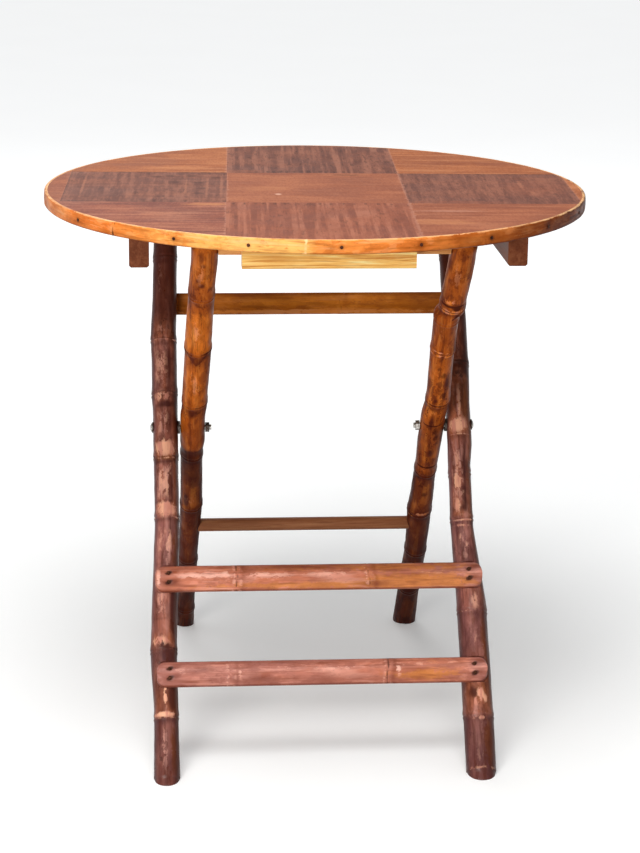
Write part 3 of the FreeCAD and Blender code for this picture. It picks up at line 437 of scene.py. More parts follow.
# (share of the length, diameter share, sideways shift share, dark line, pale line)
OUTER_LEFT_RINGS = [
    (0.096, 1, -0.115, 0.35, 0.3), (0.2, 1.09, -0.18, 0.65, 0.1), (0.418, 1.03, 0.01, 0.35, 0.55),
    (0.519, 1.05, 0.005, 0.75, 0.5), (0.628, 1.09, -0.01, 0.6, 0.45), (0.722, 1.1, -0.025, 0.3, 0.6),
    (0.868, 1.03, 0.08, 0.45, 0.1),
]
OUTER_RIGHT_RINGS = [
    (0.089, 1.24, 0.095, 0.35, 0.25), (0.256, 1.23, 0.085, 0.3, 0.35), (0.409, 0.97, -0.11, 0.3, 0.75),
    (0.487, 0.96, -0.075, 0.2, 0.15), (0.676, 1.03, 0.08, 0.9, 0.15), (0.868, 1.01, 0.09, 0.5, 0.1),
]
INNER_LEFT_RINGS = [
    (0.057, 0.86, -0.17, 0.6, 0.05), (0.209, 0.89, -0.1, 0.6, 0.05), (0.369, 0.98, 0, 0.6, 0.2),
    (0.506, 0.96, -0.02, 0.75, 0.15), (0.644, 1.06, 0.06, 0.95, 0.05), (0.775, 1.1, 0.15, 1, 0.1),
    (0.901, 1.06, 0.23, 0.35, 0.05),
]
INNER_RIGHT_RINGS = [
    (0.114, 1, 0.04, 0.6, 0.1), (0.228, 1, 0.08, 0.5, 0.25), (0.345, 1.08, 0.005, 0.7, 0.45),
    (0.458, 0.97, 0, 0.85, 0.1), (0.644, 1.02, 0.07, 0.9, 0.1), (0.768, 1.01, -0.03, 0.1, 0.8),
    (0.842, 1.03, -0.07, 0.15, 0.1), (0.871, 1.06, 0.11, 1, 0.4),
]


def pole_profile(rings, foot, end_shift):
    """Stem radius and sideways shift at every half millimetre, rounded a little."""
    foot_width, foot_shift = foot
    knots = [(-BOLT_TO_FOOT - FOOT_OVERRUN, foot_width * STEM, foot_shift * POLE_DIAMETER)]
    plain = [(-PLAIN_HALF, STEM, 0.0), (PLAIN_HALF, STEM, 0.0)]
    plain += [(BOLT_TO_END - PLAIN_HALF, STEM, end_shift), (BOLT_TO_END + PROFILE_OVERRUN, STEM, end_shift)]
    for share, width, shift, _, _ in rings:
        middle = share * POLE_LENGTH - BOLT_TO_FOOT
        stem = width * STEM - RING_SWELL / 2
        knots.append((middle - RING_HALF, stem, shift * POLE_DIAMETER))
        knots.append((middle + RING_HALF, stem, shift * POLE_DIAMETER))
    knots = sorted(knots + plain)
    heights = np.arange(-BOLT_TO_FOOT - PROFILE_OVERRUN, BOLT_TO_END + PROFILE_OVERRUN, PROFILE_STEP)
    places, *columns = zip(*knots)
    kernel = bell(np.linspace(-1.8, 1.8, 2 * SMOOTHING_STEPS + 1), 1.0)
    kernel /= kernel.sum()
    radius, shift = [
        np.convolve(np.pad(np.interp(heights, places, column), SMOOTHING_STEPS, mode="edge"), kernel, "valid")
        for column in columns
    ]
    return heights, radius, shift


FRONT_FOOT, BACK_FOOT = 1, -1
TO_THE_FRONT, TO_THE_BACK = -1, 1


def lean_out(x, y, z, side_x, forward):
    """From the straight pole to its place in the table."""
    sine, cosine = math.sin(LEAN) * forward, math.cos(LEAN)
    return np.stack([x + side_x, BOLT.y + y * cosine + z * sine, BOLT.z - y * sine + z * cosine], axis=-1)


def pole(name, side_x, forward, material, body, seed, foot, rings, end_shift, tones, marks, panels,
         seats=(), scars=()):
    """One cane. Its foot is (diameter share, sideways shift share)."""
    heights, radii, shifts = pole_profile(rings, foot, end_shift)
    turns = np.linspace(0, 2 * math.pi, POLE_COLUMNS, endpoint=False)
    levels = np.linspace(0, 1, int(POLE_LENGTH / POLE_STEP))
    levels, angle = np.meshgrid(levels, turns, indexing="ij")
    # the foot ring lies on the floor, the rings above straighten out within a few centimetres
    z = levels * POLE_LENGTH - BOLT_TO_FOOT
    fade = np.clip(1 - (z + BOLT_TO_FOOT) / FOOT_REACH, 0, 1)
    foot_radius = np.interp(-BOLT_TO_FOOT, heights, radii)
    z = z + fade * (math.tan(LEAN) * forward * foot_radius * np.sin(angle))
    radius = np.interp(z, heights, radii)
    shift = np.interp(z, heights, shifts)
    along = z + BOLT_TO_FOOT

    paint = Paint(along / POLE_LENGTH, tones)
    chance = np.random.default_rng(seed)
    for share, _, _, dark, pale in rings:
        tip = chance.uniform(0, 2 * math.pi)
        uneven = ripple(angle, 0, seed + int(share * 1000), 4)
        faded = 0.7 - 0.6 * ripple(angle, 0, seed + int(share * 500), 4)
        away = along - share * POLE_LENGTH - 1.2 * MM * np.sin(angle + tip) - 0.9 * MM * uneven
        radius = radius + relief(away, POLE_RELIEF)
        paint.ring(away, POLE_RING, dark * (0.75 + 0.5 * uneven), pale * faded)

    def facing_off(facing):
        return (angle - math.radians(facing) + math.pi) % (2 * math.pi) - math.pi

    # shaved flats between the joints, each with a painted reflection and painted shade round its edge
    for low, high, facing, width, depth, bright in panels:
        reach = np.abs(along - (low + high) / 2 * POLE_LENGTH) / ((high - low) / 2 * POLE_LENGTH)
        off = np.abs(facing_off(facing)) / math.radians(width)
        radius = radius - depth * MM * bell(reach, 0.85) * np.clip(1 - off, 0, 1) ** 1.5
        inside = np.maximum(reach, 1.5 * off)
        paint.mark("highlight_and_pale_line", bright * plateau(inside, 0.92))
        paint.mark("stain_and_shade", 0.5 * bright * bell(inside - 1.08, 0.1))
    radius = radius + 0.35 * MM * ripple(angle, along * 45, seed + 7)
    radius = radius + 0.15 * MM * ripple(2 * angle, along * 160, seed + 8)
    radius = radius * (1 - 0.07 * np.clip(1 - along / FOOT_LIP, 0, 1) ** 2)

    for group in marks:
        for kind, spots in group.items():
            for share, facing, tall, wide, strength in spots:
                up, round_off = along - share * POLE_LENGTH, facing_off(facing) * STEM
                paint.mark(kind, strength * oval(up / (tall * MM), round_off / (wide * MM)))

    # V-shaped scars under a joint
    for share, facing, wide, deep, strength in scars:
        off = np.abs(facing_off(facing)) * STEM / (wide * MM)
        away = along - share * POLE_LENGTH + deep * MM * np.clip(1 - off, 0, 1)
        near = strength * np.clip(5 - 4 * off, 0, 1)
        paint.mark("joint", near * bell(away, 1.0 * MM))
        paint.mark("stain_and_shade", 0.6 * near * bell(away - 1.5 * MM, 3.5 * MM))

    x = radius * np.cos(angle) + shift
    y = radius * np.sin(angle)
    for middle, half, facing in seats:
        inside = np.abs(along - middle * POLE_LENGTH) < half
        y = np.where(inside & (y * facing > SEAT_LEVEL), SEAT_LEVEL * facing, y)

    # domed end, in rings that close in
    lift = DOME_TURN * np.linspace(0, math.pi / 2, DOME_RINGS + 1)[1:, None]
    rise = DOME_RISE * (STEM + END_ROUND) * np.sin(lift)
    x = np.vstack([x, (x[-1] - end_shift) * np.cos(lift) + end_shift])
    y = np.vstack([y, y[-1] * np.cos(lift)])
    z = np.vstack([z, BOLT_TO_END + rise + np.zeros(POLE_COLUMNS)])
    masks = {key: np.pad(mask, ((0, DOME_RINGS), (0, 0)), mode="edge") for key, mask in paint.masks.items()}
    points = lean_out(x, y, z, side_x, forward)
    points[..., 2] = np.maximum(points[..., 2], 0.0)
    straight = np.stack([x, y, z], axis=-1)
    piece(name, points, closed_tube(points), material, body, (name,), straight, masks)


# Split-bamboo rails: hollow back, crowned face, rounded ends, a dimple at each nail

# side is the thickness at the long edges, crown the thickness in the middle
Slat = namedtuple("Slat", "length width side crown corner")
CORNER_STEPS = 12
RUN_STEPS = 190
FRONT_POINTS, BACK_POINTS = 33, 17
HOLLOW_DEPTH = 2.4 * MM
HOLLOW_END = 12 * MM
HOLLOW_RUN = 20 * MM
NAIL_PITCH = 10.5 * MM
NAIL_X = OUTER_X - 1 * MM


def slat(name, shape, centre_share, facing, material, seed, joints, tones, marks):
    half_length = shape.length / 2
    ends = half_length - shape.corner
    corner_run = shape.corner * (1 - np.cos(np.linspace(0, math.pi / 2, CORNER_STEPS)))
    straight_run = np.linspace(-ends, ends, RUN_STEPS)[1:-1]
    run = np.concatenate([corner_run - half_length, straight_run, half_length - corner_run[::-1]])
    reach = np.clip((np.abs(run) - ends) / shape.corner, 0, 1)
    half_width = shape.width / 2 - shape.corner * (1 - np.sqrt(1 - reach ** 2))
    across = np.concatenate([np.linspace(-1, 1, FRONT_POINTS), np.linspace(1, -1, BACK_POINTS)])
    is_front = np.arange(FRONT_POINTS + BACK_POINTS) < FRONT_POINTS
    x, across = np.meshgrid(run, across, indexing="ij")
    u = half_width[:, None] * across
    edge = np.abs(across)
    rise = shape.side + (shape.crown - shape.side) * (1 - edge ** 2)
    rise = rise - 1.0 * MM * np.clip((edge - 0.93) / 0.07, 0, 1) ** 2
    paint = Paint(x, tones)
    chance = np.random.default_rng(seed)
    for place, dark, pale in joints:
        away = x - place * MM - 1.2 * MM * np.sin(across * 2.2 + chance.uniform(0, 6))
        rise = rise + relief(away, SLAT_RELIEF)
        paint.ring(away, SLAT_RING, dark, pale)
    rise = rise + 0.22 * MM * ripple(x * 40, u * 60, seed + 3)
    for nail_x in (-NAIL_X, NAIL_X):
        for nail_u in (-NAIL_PITCH / 2, NAIL_PITCH / 2):
            beside, above = x - nail_x, u - nail_u
            rise = rise - 1.1 * MM * bell(np.hypot(beside, above), 2.7 * MM)
            lean = above - 0.25 * beside
            paint.mark("joint", 0.8 * oval(beside / (5.0 * MM), lean / (3.0 * MM)))
            paint.mark("stain_and_shade", 0.5 * oval((beside - 4 * MM) / (9 * MM), lean / (3.5 * MM)))
    # darker long edges
    paint.mark("stain_and_shade", 0.75 * np.clip((edge - 0.9) / 0.08, 0, 1) * is_front)
    low = HOLLOW_DEPTH * bell(across, 0.62) * np.clip((ends - HOLLOW_END - np.abs(x)) / HOLLOW_RUN, 0, 1)
    depth = np.where(is_front, rise, low)
    for kind, spots in marks.items():
        for place, height, wide, tall, strength in spots:
            spot = oval((x - place * MM) / (wide * MM), (u - height * MM) / (tall * MM))
            paint.mark(kind, strength * spot)
    z = centre_share * POLE_LENGTH - BOLT_TO_FOOT + u
    points = lean_out(x, facing * (SEAT_LEVEL + depth), z, 0.0, FRONT_FOOT)
    faces = closed_tube(points)
    if facing == TO_THE_BACK:
        faces = [face[::-1] for face in faces]
    straight = np.stack([depth, u, x], axis=-1)
    piece(name, points, faces, material, "outer_frame", (name,), straight, paint.masks)


# Finishes

# Canes: warm light and dark, cool light and dark, golden, the painted highlight tone that also tints bare
# patches, the worn tone that also streaks the painted highlights, gap
red_cane = bamboo(
    "red_cane", ((0.53, 0.165, 0.08), (0.07, 0.014, 0.006)), ((0.42, 0.15, 0.125), (0.074, 0.022, 0.023)),
    (0.27, 0.075, 0.016), (0.66, 0.31, 0.25), (0.8, 0.4, 0.25), (0.045, 0.012, 0.007),
    roughness=0.34, coat=0.03, specular=0.16)
amber_cane = bamboo(
    "amber_cane", ((0.66, 0.15, 0.014), (0.08, 0.01, 0.003)),
    ((0.25, 0.03, 0.006), (0.024, 0.004, 0.002)), (0.76, 0.195, 0.018), (0.94, 0.31, 0.055),
    (0.72, 0.26, 0.13), (0.045, 0.007, 0.003),
    roughness=0.42, coat=0.0, specular=0.06)
pink_cane = bamboo(
    "pink_cane", ((0.72, 0.235, 0.13), (0.22, 0.048, 0.02)), ((0.6, 0.24, 0.19), (0.2, 0.06, 0.045)),
    (0.76, 0.27, 0.07), (0.95, 0.46, 0.35), (0.94, 0.52, 0.4), (0.055, 0.013, 0.008),
    roughness=0.34, coat=0.05, specular=0.18)
golden_cane = bamboo(
    "golden_cane", ((1.0, 0.44, 0.105), (0.34, 0.075, 0.008)), ((0.88, 0.2, 0.028), (0.075, 0.01, 0.002)),
    (1.0, 0.54, 0.15), (1.0, 0.54, 0.24), (1.0, 0.62, 0.3), (0.06, 0.01, 0.004),
    roughness=0.42, coat=0.0, specular=0.06)
amber_split = bamboo(
    "amber_split", ((0.52, 0.15, 0.013), (0.2, 0.045, 0.006)), ((0.38, 0.115, 0.03), (0.14, 0.034, 0.008)),
    (0.62, 0.2, 0.02), (0.66, 0.24, 0.06), (0.62, 0.24, 0.075), (0.04, 0.009, 0.003),
    roughness=0.44, coat=0.0, specular=0.1)
dark_iron = metal("dark_iron", (0.1, 0.085, 0.075), (0.03, 0.022, 0.018), 0.45, 0.5)
bright_steel = metal("bright_steel", (0.55, 0.53, 0.5), (0.25, 0.22, 0.19), 0.32, 0.25)
nail_iron = metal("nail_iron", (0.085, 0.028, 0.014), (0.03, 0.009, 0.005), 0.6, 0.4)
pine = timber("pine", (1.0, 0.59, 0.16), (0.6, 0.2, 0.03), (1.0, 0.88, 0.42), "X", scale=1.1, figure=0.85,
              speck=0.1, relief=0.12, twist=2.6, specular=0.12)
bar_wood = timber("bar_wood", (0.74, 0.32, 0.1), (0.36, 0.12, 0.03), (0.9, 0.5, 0.2), "X", specular=0.12)
batten_wood = timber("batten_wood", (0.155, 0.042, 0.016), (0.075, 0.017, 0.006), (0.24, 0.08, 0.034), "Y",
                     speck=0.4, specular=0.08, coat=0.0)
dowel_wood = timber("dowel_wood", (0.29, 0.105, 0.044), (0.15, 0.042, 0.016), (0.44, 0.2, 0.09), "X",
                    speck=0.4, specular=0.1)
board_wood = timber("board_wood", (0.36, 0.2, 0.1), (0.22, 0.11, 0.05), (0.48, 0.3, 0.17), "X", coat=0.0,
                    roughness=0.6)


WEST, EAST = -PATCH_WIDTH / 2, PATCH_WIDTH / 2
SOUTH, NORTH = -PATCH_DEPTH / 2, PATCH_DEPTH / 2
BOARD_RADIUS = RIM_RADIUS - BAND_THICKNESS
TIP_W, TIP_E = -(BOARD_RADIUS - 20 * MM), BOARD_RADIUS - 10 * MM
FAR = 1.0
SOOT = (0.06, 0.02, 0.014)
SEAM_PALE = (0.52, 0.23, 0.15)
GLOW = (0.6, 0.24, 0.1)
ORANGE = ((0.44, 0.137, 0.05), (0.29, 0.078, 0.028), (0.6, 0.235, 0.1))
SMOKE = ((0.25, 0.09, 0.056), (0.135, 0.048, 0.034), (0.37, 0.145, 0.088))
RED = ((0.38, 0.12, 0.058), (0.24, 0.064, 0.031), (0.51, 0.19, 0.092))
PLUM = ((0.34, 0.103, 0.058), (0.175, 0.048, 0.033), (0.5, 0.195, 0.108))
BROWN = ((0.34, 0.103, 0.053), (0.21, 0.06, 0.034), (0.44, 0.158, 0.09))
BURNS = [(-181, 66), (-166, 70), (-141, 72), (-113, 60), (-131, 28), (-128, -10), (-132, -42), (-160, 30)]
BURN_MARKS = [(u, v, 7, 7, 0.6, SOOT) for u, v in BURNS]
TICK_PLACES = (-74, -66, -52, -45, -37, -30, -21, -12, -4, 9, 16, 26, 37)
TICK_MARKS = [(u, 104, 2.2, 9, 0.6, SOOT) for u in TICK_PLACES]
SAW_PLACES = (-92, -80, -68, -60, -47, -36, -22, -10, 2, 14, 28, 39, 52, 66, 80)
SAW_MARKS = [(u, -103, 1.8, 7, 0.5, SOOT) for u in SAW_PLACES]
PALE_SCRATCHES = [(u, 0, 1.8, 70, 0.5, PLUM[2]) for u in (-146, -122, -106, -262)]
FLAKE = (0.75, 0.42, 0.3)
# Marks are (place west to east, place south to north, half widths, all in mm, strength, colour)
VENEERS = {
    "northwest": (ORANGE, "X", (-FAR, WEST, NORTH, FAR), (0, 0.5, -0.4, 0), {
        "figure": 0.45, "marks": [(-150, 125, 60, 9, 0.45, GLOW), (-205, 150, 50, 10, 0.5, RED[1])]}),
    "north": (SMOKE, "Y", (WEST, EAST, NORTH, FAR), (0.2, 0.3, 0, 0), {
        "ribs": 0.7, "ticks": 0.5, "marks": TICK_MARKS + [(-80, 108, 24, 9, 0.5, RED[0])]}),
    "northeast": (ORANGE, "X", (EAST, FAR, NORTH, FAR), (0.5, 0, -0.3, 0), {
        "marks": [(140, 118, 45, 12, 0.5, GLOW), (190, 170, 60, 14, 0.5, RED[1])]}),
    "west": (SMOKE, "X", (TIP_W, WEST, SOUTH, NORTH), (-0.3, 0, -0.6, -0.8), {
        "ribs": 0.6, "hatch": 0.25, "ticks": 0.4, "marks": BURN_MARKS + PALE_SCRATCHES}),
    "centre": (RED, "X", (WEST, EAST, SOUTH, NORTH), (0.5, 0.5, 0, 0), {
        "figure": 0.2, "marks": [
            (42, 84, 18, 5, 0.5, SOOT), (60, 70, 26, 4, 0.4, RED[1]), (-42, -44, 4, 5, 0.9, FLAKE),
            (-60, -10, 40, 16, 0.3, GLOW)]}),
    "east": (SMOKE, "Y", (EAST, TIP_E, SOUTH, NORTH), (0.5, 0.3, 0, -0.5), {
        "ribs": 0.35, "hatch": 0.2, "ticks": 0.35, "grit": 0.5, "marks": [
            (236, 20, 3, 30, 0.7, PLUM[2]), (244, -30, 4, 14, 0.5, PLUM[2]), (150, -88, 60, 8, 0.5, BROWN[0]),
            (245, 10, 30, 60, 0.35, BROWN[0])]}),
    "southwest": (PLUM, "X", (-FAR, WEST, -FAR, SOUTH), (0, 0.5, 0, 0.2), {
        "figure": 0.7, "marks": [
            (-120, -108, 26, 9, 0.7, GLOW), (-135, -150, 60, 7, 0.6, PLUM[1]),
            (-170, -125, 34, 5, 0.6, PLUM[1]), (-110, -185, 40, 9, 0.5, PLUM[1])]}),
    "south": (BROWN, "Y", (WEST, EAST, -FAR, SOUTH), (0, 0.4, 0, 0), {
        "figure": 0.2, "ribs": 0.75, "ticks": 0.35, "marks": SAW_MARKS}),
    "southeast": (RED, "X", (EAST, FAR, -FAR, SOUTH), (0.5, 0, 0, 0), {
        "figure": 0.45, "marks": [
            (135, -142, 46, 5, 0.7, SEAM_PALE), (125, -205, 40, 16, 0.55, GLOW),
            (190, -120, 50, 8, 0.5, RED[1])]}),
    "west_tip": (RED, "X", (-FAR, TIP_W, SOUTH, NORTH), (0, 0.2, 0, 0), {}),
    "east_tip": (ORANGE, "X", (TIP_E, FAR, SOUTH, NORTH), (0.3, 0, 0, 0), {}),
}
PLAIN_NODES = [
    (board_wood, ["top_board"]), (pine, ["stop_rail"]), (bar_wood, ["inner_top_bar"]),
    (batten_wood, ["batten_left", "batten_right"]), (dowel_wood, ["rear_stretcher"]),
    (bright_steel, ["pivot_bolt_left", "pivot_bolt_right", "pivot_nut_right"]),
    (dark_iron, ["hinge_pin_left", "hinge_pin_right", "bolt_washer_left", "bolt_washer_right",
                 "pivot_spacer_left", "pivot_spacer_right", "pivot_nut_left"]),
    (nail_iron, ["edge_nails", "stretcher_nails", "crossbar_nails"]),
]


def dress(key, finish):
    NODES[key].data.materials.clear()
    NODES[key].data.materials.append(finish)


for suffix, (tones, grain, edges, seams, settings) in VENEERS.items():
    dress("veneer_" + suffix, veneer("veneer_" + suffix, tones, grain, edges, seams, **settings))
for finish, keys in PLAIN_NODES:
    for key in keys:
        dress(key, finish)

# The four poles. Tones run up the pole as (share, stain and painted shade, cool, gold, fleck); the dark tones
# at the outer poles' tops and the inner poles' lower halves are partly the cane's stain, partly painted
# shade. Marks are (share, direction faced in degrees, half height and half width in mm, strength), 270 to the
# front. Panels are (from share, to share, direction, half width in degrees, depth in mm, brightness of the
# painted reflection)
UPPER_SHARE, LOWER_SHARE, CROSSBAR_SHARE = 0.3115, 0.1585, 0.7953
UPPER = Slat(369.4 * MM, 30 * MM, 3.2 * MM, 9 * MM, 9 * MM)
LOWER = Slat(367.8 * MM, 28.5 * MM, 3.2 * MM, 9 * MM, 9 * MM)
CROSSBAR = Slat(366 * MM, 27 * MM, 3.5 * MM, 10 * MM, 5 * MM)
RAILS = [(UPPER_SHARE, UPPER, TO_THE_FRONT), (LOWER_SHARE, LOWER, TO_THE_FRONT),
         (CROSSBAR_SHARE, CROSSBAR, TO_THE_BACK)]
SEATS = [(share, rail.width / 2 + SEAT_MARGIN, facing) for share, rail, facing in RAILS]

# painted shade down the left and right sides of the outer poles, purplish on the left and browner on the
# right
RED_SIDE_SHADE = {
    "stain_and_shade": [(0.5, 190, 420, 6, 0.45), (0.5, 342, 420, 9, 0.55)],
    "cool": [(0.5, 192, 420, 7, 0.6), (0.5, 345, 420, 9, -0.9)],
}

# painted shade down the left and right sides of the inner poles
AMBER_SIDE_SHADE = {
    "stain_and_shade": [(0.5, 192, 420, 5, 0.3), (0.5, 345, 420, 7, 0.4)],
}

OUTER_LEFT_TONES = [
    (0, 0.84, 0.7, 0.1, 0.4), (0.088, 0.78, 0.8, 0, 0.4), (0.1, 0.52, 0.2, 0.2, 0.3),
    (0.14, 0.64, 0.2, 0.2, 0.5), (0.185, 0.62, 0.6, 0, 0.6), (0.198, 0.5, 0.5, 0, 0.5),
    (0.212, 0.38, 0, 0.2, 0.2), (0.232, 0.4, 0.5, 0, 0.2), (0.3, 0.44, 0.7, 0, 0.2), (0.4, 0.4, 0.9, 0, 0.2),
    (0.415, 0.35, 0.6, 0, 0.2), (0.43, 0.28, 0, 0.1, 0.1), (0.445, 0.38, 0.5, 0, 0.2),
    (0.505, 0.36, 0.5, 0, 0.3), (0.512, 0.5, 0, 0.3, 0.3), (0.53, 0.3, 0, 0.1, 0.1),
    (0.545, 0.4, 0.5, 0, 0.2), (0.6, 0.46, 0.5, 0, 0.3), (0.618, 0.48, 0.4, 0, 0.8),
    (0.64, 0.42, 0.6, 0, 0.3), (0.71, 0.42, 0.6, 0, 0.4), (0.722, 0.55, 0.2, 0, 0.9),
    (0.748, 0.72, 0.1, 0.1, 1), (0.77, 0.92, 0.3, 0, 0.5), (1, 0.95, 0.4, 0, 0.3),
]
OUTER_LEFT_MARKS = {
    # pale patches and pale rings; the tall narrow pale streak near the foot, on the front, is a painted
    # highlight
    "worn": [(0.531, 264, 11, 15, 0.8), (0.429, 268, 11, 14, 0.8), (0.213, 250, 7, 13, 0.6),
        (0.097, 258, 3.6, 16, 0.75), (0.618, 254, 7, 12, 0.55), (0.13, 268, 16, 2.5, 0.85)],
    # painted highlights and painted reflections down the front
    "highlight_and_pale_line": [(0.531, 250, 5, 6, 0.9), (0.735, 262, 8, 8, 0.35), (0.362, 281, 26, 3.5, 0.75),
        (0.365, 246, 24, 4, 0.35), (0.285, 250, 22, 6, 0.5), (0.045, 262, 30, 4, 0.5),
        (0.578, 262, 20, 4, 0.35), (0.83, 246, 30, 5, 0.22)],
    "stain_and_shade": [(0.206, 274, 5, 6, 0.7), (0.606, 272, 4, 10, 0.5), (0.12, 300, 16, 5, 0.5),
        (0.27, 312, 36, 5, 0.6), (0.188, 285, 8, 7, 0.5), (0.47, 286, 26, 3, 0.45), (0.39, 288, 22, 4, 0.4),
        (0.668, 284, 26, 4, 0.45), (0.575, 282, 18, 3, 0.4), (0.64, 240, 6, 5, 0.4), (0.69, 244, 8, 3, 0.35),
        (0.545, 246, 5, 5, 0.35)],
    "joint": [(0.602, 290, 2, 7, 0.4), (0.745, 256, 5, 2.5, 0.5), (0.752, 274, 2, 6, 0.5),
        (0.738, 290, 5, 2, 0.45), (0.73, 250, 1.5, 7, 0.45), (0.03, 244, 7, 4, 0.5), (0.043, 250, 3, 6, 0.45),
        (0.885, 262, 2, 14, 0.5)],
    "gold": [(0.513, 275, 3, 14, 0.45), (0.045, 308, 32, 6, 0.6), (0.365, 312, 30, 5, 0.6)],
    "cool": [(0.188, 250, 7, 7, 0.6)],
}
OUTER_LEFT_PANELS = [
    (0.34, 0.408, 250, 50, 0.6, 0.38), (0.443, 0.504, 254, 60, 0.8, 0.72), (0.545, 0.6, 256, 52, 0.5, 0.45),
    (0.633, 0.706, 252, 56, 0.7, 0.52), (0.25, 0.29, 250, 44, 0.5, 0.42), (0, 0.088, 258, 36, 0.6, 0.1),
]
pole("outer_pole_left", -OUTER_X, FRONT_FOOT, red_cane, "outer_frame", seed=11,
     foot=(1.03, -0.12), rings=OUTER_LEFT_RINGS, end_shift=4 * MM, tones=OUTER_LEFT_TONES,
     marks=(RED_SIDE_SHADE, OUTER_LEFT_MARKS), panels=OUTER_LEFT_PANELS, seats=SEATS)

OUTER_RIGHT_TONES = [
    (0, 0.86, 0.9, 0, 0.5), (0.08, 0.8, 0.9, 0.1, 0.6), (0.09, 0.44, 0.3, 0.2, 0.5),
    (0.128, 0.5, 0, 0.4, 0.6), (0.15, 0.66, 0.2, 0.2, 0.5), (0.19, 0.62, 0.8, 0, 0.3),
    (0.25, 0.58, 1, 0, 0.3), (0.26, 0.4, 0.7, 0, 0.3), (0.29, 0.42, 0.7, 0, 0.3), (0.34, 0.42, 1, 0, 0.5),
    (0.4, 0.42, 1, 0, 0.4), (0.413, 0.35, 0.1, 0.2, 0.3), (0.44, 0.3, 0.5, 0, 0.1),
    (0.535, 0.32, 0.6, 0, 0.1), (0.548, 0.35, 0.2, 0.1, 0.3), (0.56, 0.22, 0, 0.2, 0.4),
    (0.58, 0.28, 0, 0.2, 0.3), (0.645, 0.35, 0, 0.4, 0.4), (0.655, 0.75, 0, 0.2, 1), (0.7, 0.82, 0.1, 0.2, 1),
    (0.8, 0.92, 0.1, 0.1, 0.6), (1, 0.95, 0.2, 0, 0.4),
]
OUTER_RIGHT_MARKS = {
    "joint": [(0.655, 262, 5, 5, 0.6), (0.648, 284, 5, 4, 0.6), (0.672, 275, 4, 5, 0.6),
        (0.65, 250, 3, 4, 0.5)],
    "worn": [(0.565, 258, 11, 14, 0.75), (0.549, 264, 1.5, 14, 0.5), (0.47, 250, 12, 6, 0.8),
        (0.428, 246, 10, 5, 0.75), (0.395, 262, 2, 16, 0.5), (0.118, 276, 9, 4, 0.85),
        (0.108, 258, 6, 4, 0.6), (0.112, 290, 6, 5, 0.6), (0.082, 268, 3, 9, 0.45),
        (0.004, 262, 2.5, 30, 0.35)],
    # painted highlights and painted reflections down the front
    "highlight_and_pale_line": [(0.605, 266, 24, 3, 0.75), (0.5, 262, 26, 6, 0.35), (0.372, 252, 9, 4, 0.5),
        (0.358, 272, 9, 4, 0.55), (0.345, 258, 6, 5, 0.5), (0.27, 276, 12, 4, 0.6), (0.215, 268, 26, 6, 0.3),
        (0.03, 262, 28, 5, 0.25)],
    "gold": [(0.605, 300, 26, 5, 0.6), (0.215, 310, 40, 6, 0.6), (0.04, 302, 34, 7, 0.7)],
    "stain_and_shade": [(0.43, 285, 9, 5, 0.5), (0.122, 250, 6, 5, 0.5), (0.5, 286, 34, 4, 0.45),
        (0.375, 240, 20, 4, 0.4), (0.61, 284, 22, 3, 0.4), (0.45, 278, 10, 4, 0.4)],
}
OUTER_RIGHT_PANELS = [
    (0.01, 0.08, 262, 42, 0.9, 0.05), (0.335, 0.4, 262, 44, 0.6, 0.3), (0.428, 0.54, 252, 50, 0.7, 0.58),
    (0.18, 0.245, 258, 40, 0.6, 0.12), (0.575, 0.64, 258, 44, 0.6, 0.35),
]
pole("outer_pole_right", OUTER_X, FRONT_FOOT, red_cane, "outer_frame", seed=23,
     foot=(1.16, 0.07), rings=OUTER_RIGHT_RINGS, end_shift=2.5 * MM, tones=OUTER_RIGHT_TONES,
     marks=(RED_SIDE_SHADE, OUTER_RIGHT_MARKS), panels=OUTER_RIGHT_PANELS, seats=SEATS)

INNER_LEFT_TONES = [
    (0, 1, 0.9, 0, 0.4), (0.2, 0.96, 0.7, 0, 0.6), (0.24, 0.86, 0.5, 0.1, 0.8), (0.37, 0.84, 0.5, 0.1, 0.9),
    (0.385, 0.68, 0.4, 0.1, 0.7), (0.42, 0.68, 0.4, 0.1, 0.6), (0.44, 0.76, 0.4, 0, 0.8),
    (0.528, 0.82, 0.4, 0, 0.6), (0.534, 0.42, 0.3, 0, 0.3), (0.6, 0.36, 0.2, 0.2, 0.3),
    (0.625, 0.45, 0.2, 0.1, 0.7), (0.65, 0.4, 0.1, 0.2, 0.5), (0.67, 0.22, 0, 0.4, 0.4),
    (0.75, 0.3, 0.1, 0.3, 0.6), (0.775, 0.32, 0.1, 0.2, 0.6), (0.79, 0.12, 0, 0.6, 0.2),
    (0.865, 0.14, 0, 0.6, 0.4), (0.88, 0.36, 0.2, 0.2, 1), (0.925, 0.38, 0.2, 0.2, 1),
    (0.935, 0.4, 0, 0.5, 0.5), (1, 0.44, 0, 0.4, 0.3),
]
INNER_LEFT_MARKS = {
    "stain_and_shade": [(0.762, 262, 8, 6, 0.25), (0.902, 262, 13, 22, 0.12), (0.628, 256, 7, 5, 0.6),
        (0.935, 264, 4, 4, 0.7), (0.978, 262, 3, 3, 0.6), (0.945, 246, 3, 3, 0.6), (0.52, 264, 9, 14, 0.25),
        (0.395, 240, 12, 4, 0.5)],
    "joint": [(0.632, 285, 4, 5, 0.5)],
    # painted highlights down the front
    "highlight_and_pale_line": [(0.7, 262, 18, 3, 0.7), (0.715, 246, 12, 3, 0.5), (0.69, 280, 10, 2.5, 0.5),
        (0.825, 250, 22, 5, 0.75), (0.822, 274, 16, 3, 0.4), (0.96, 252, 22, 5, 0.45),
        (0.395, 262, 9, 8, 0.35), (0.34, 264, 24, 5, 0.18), (0.58, 250, 12, 4, 0.25)],
}
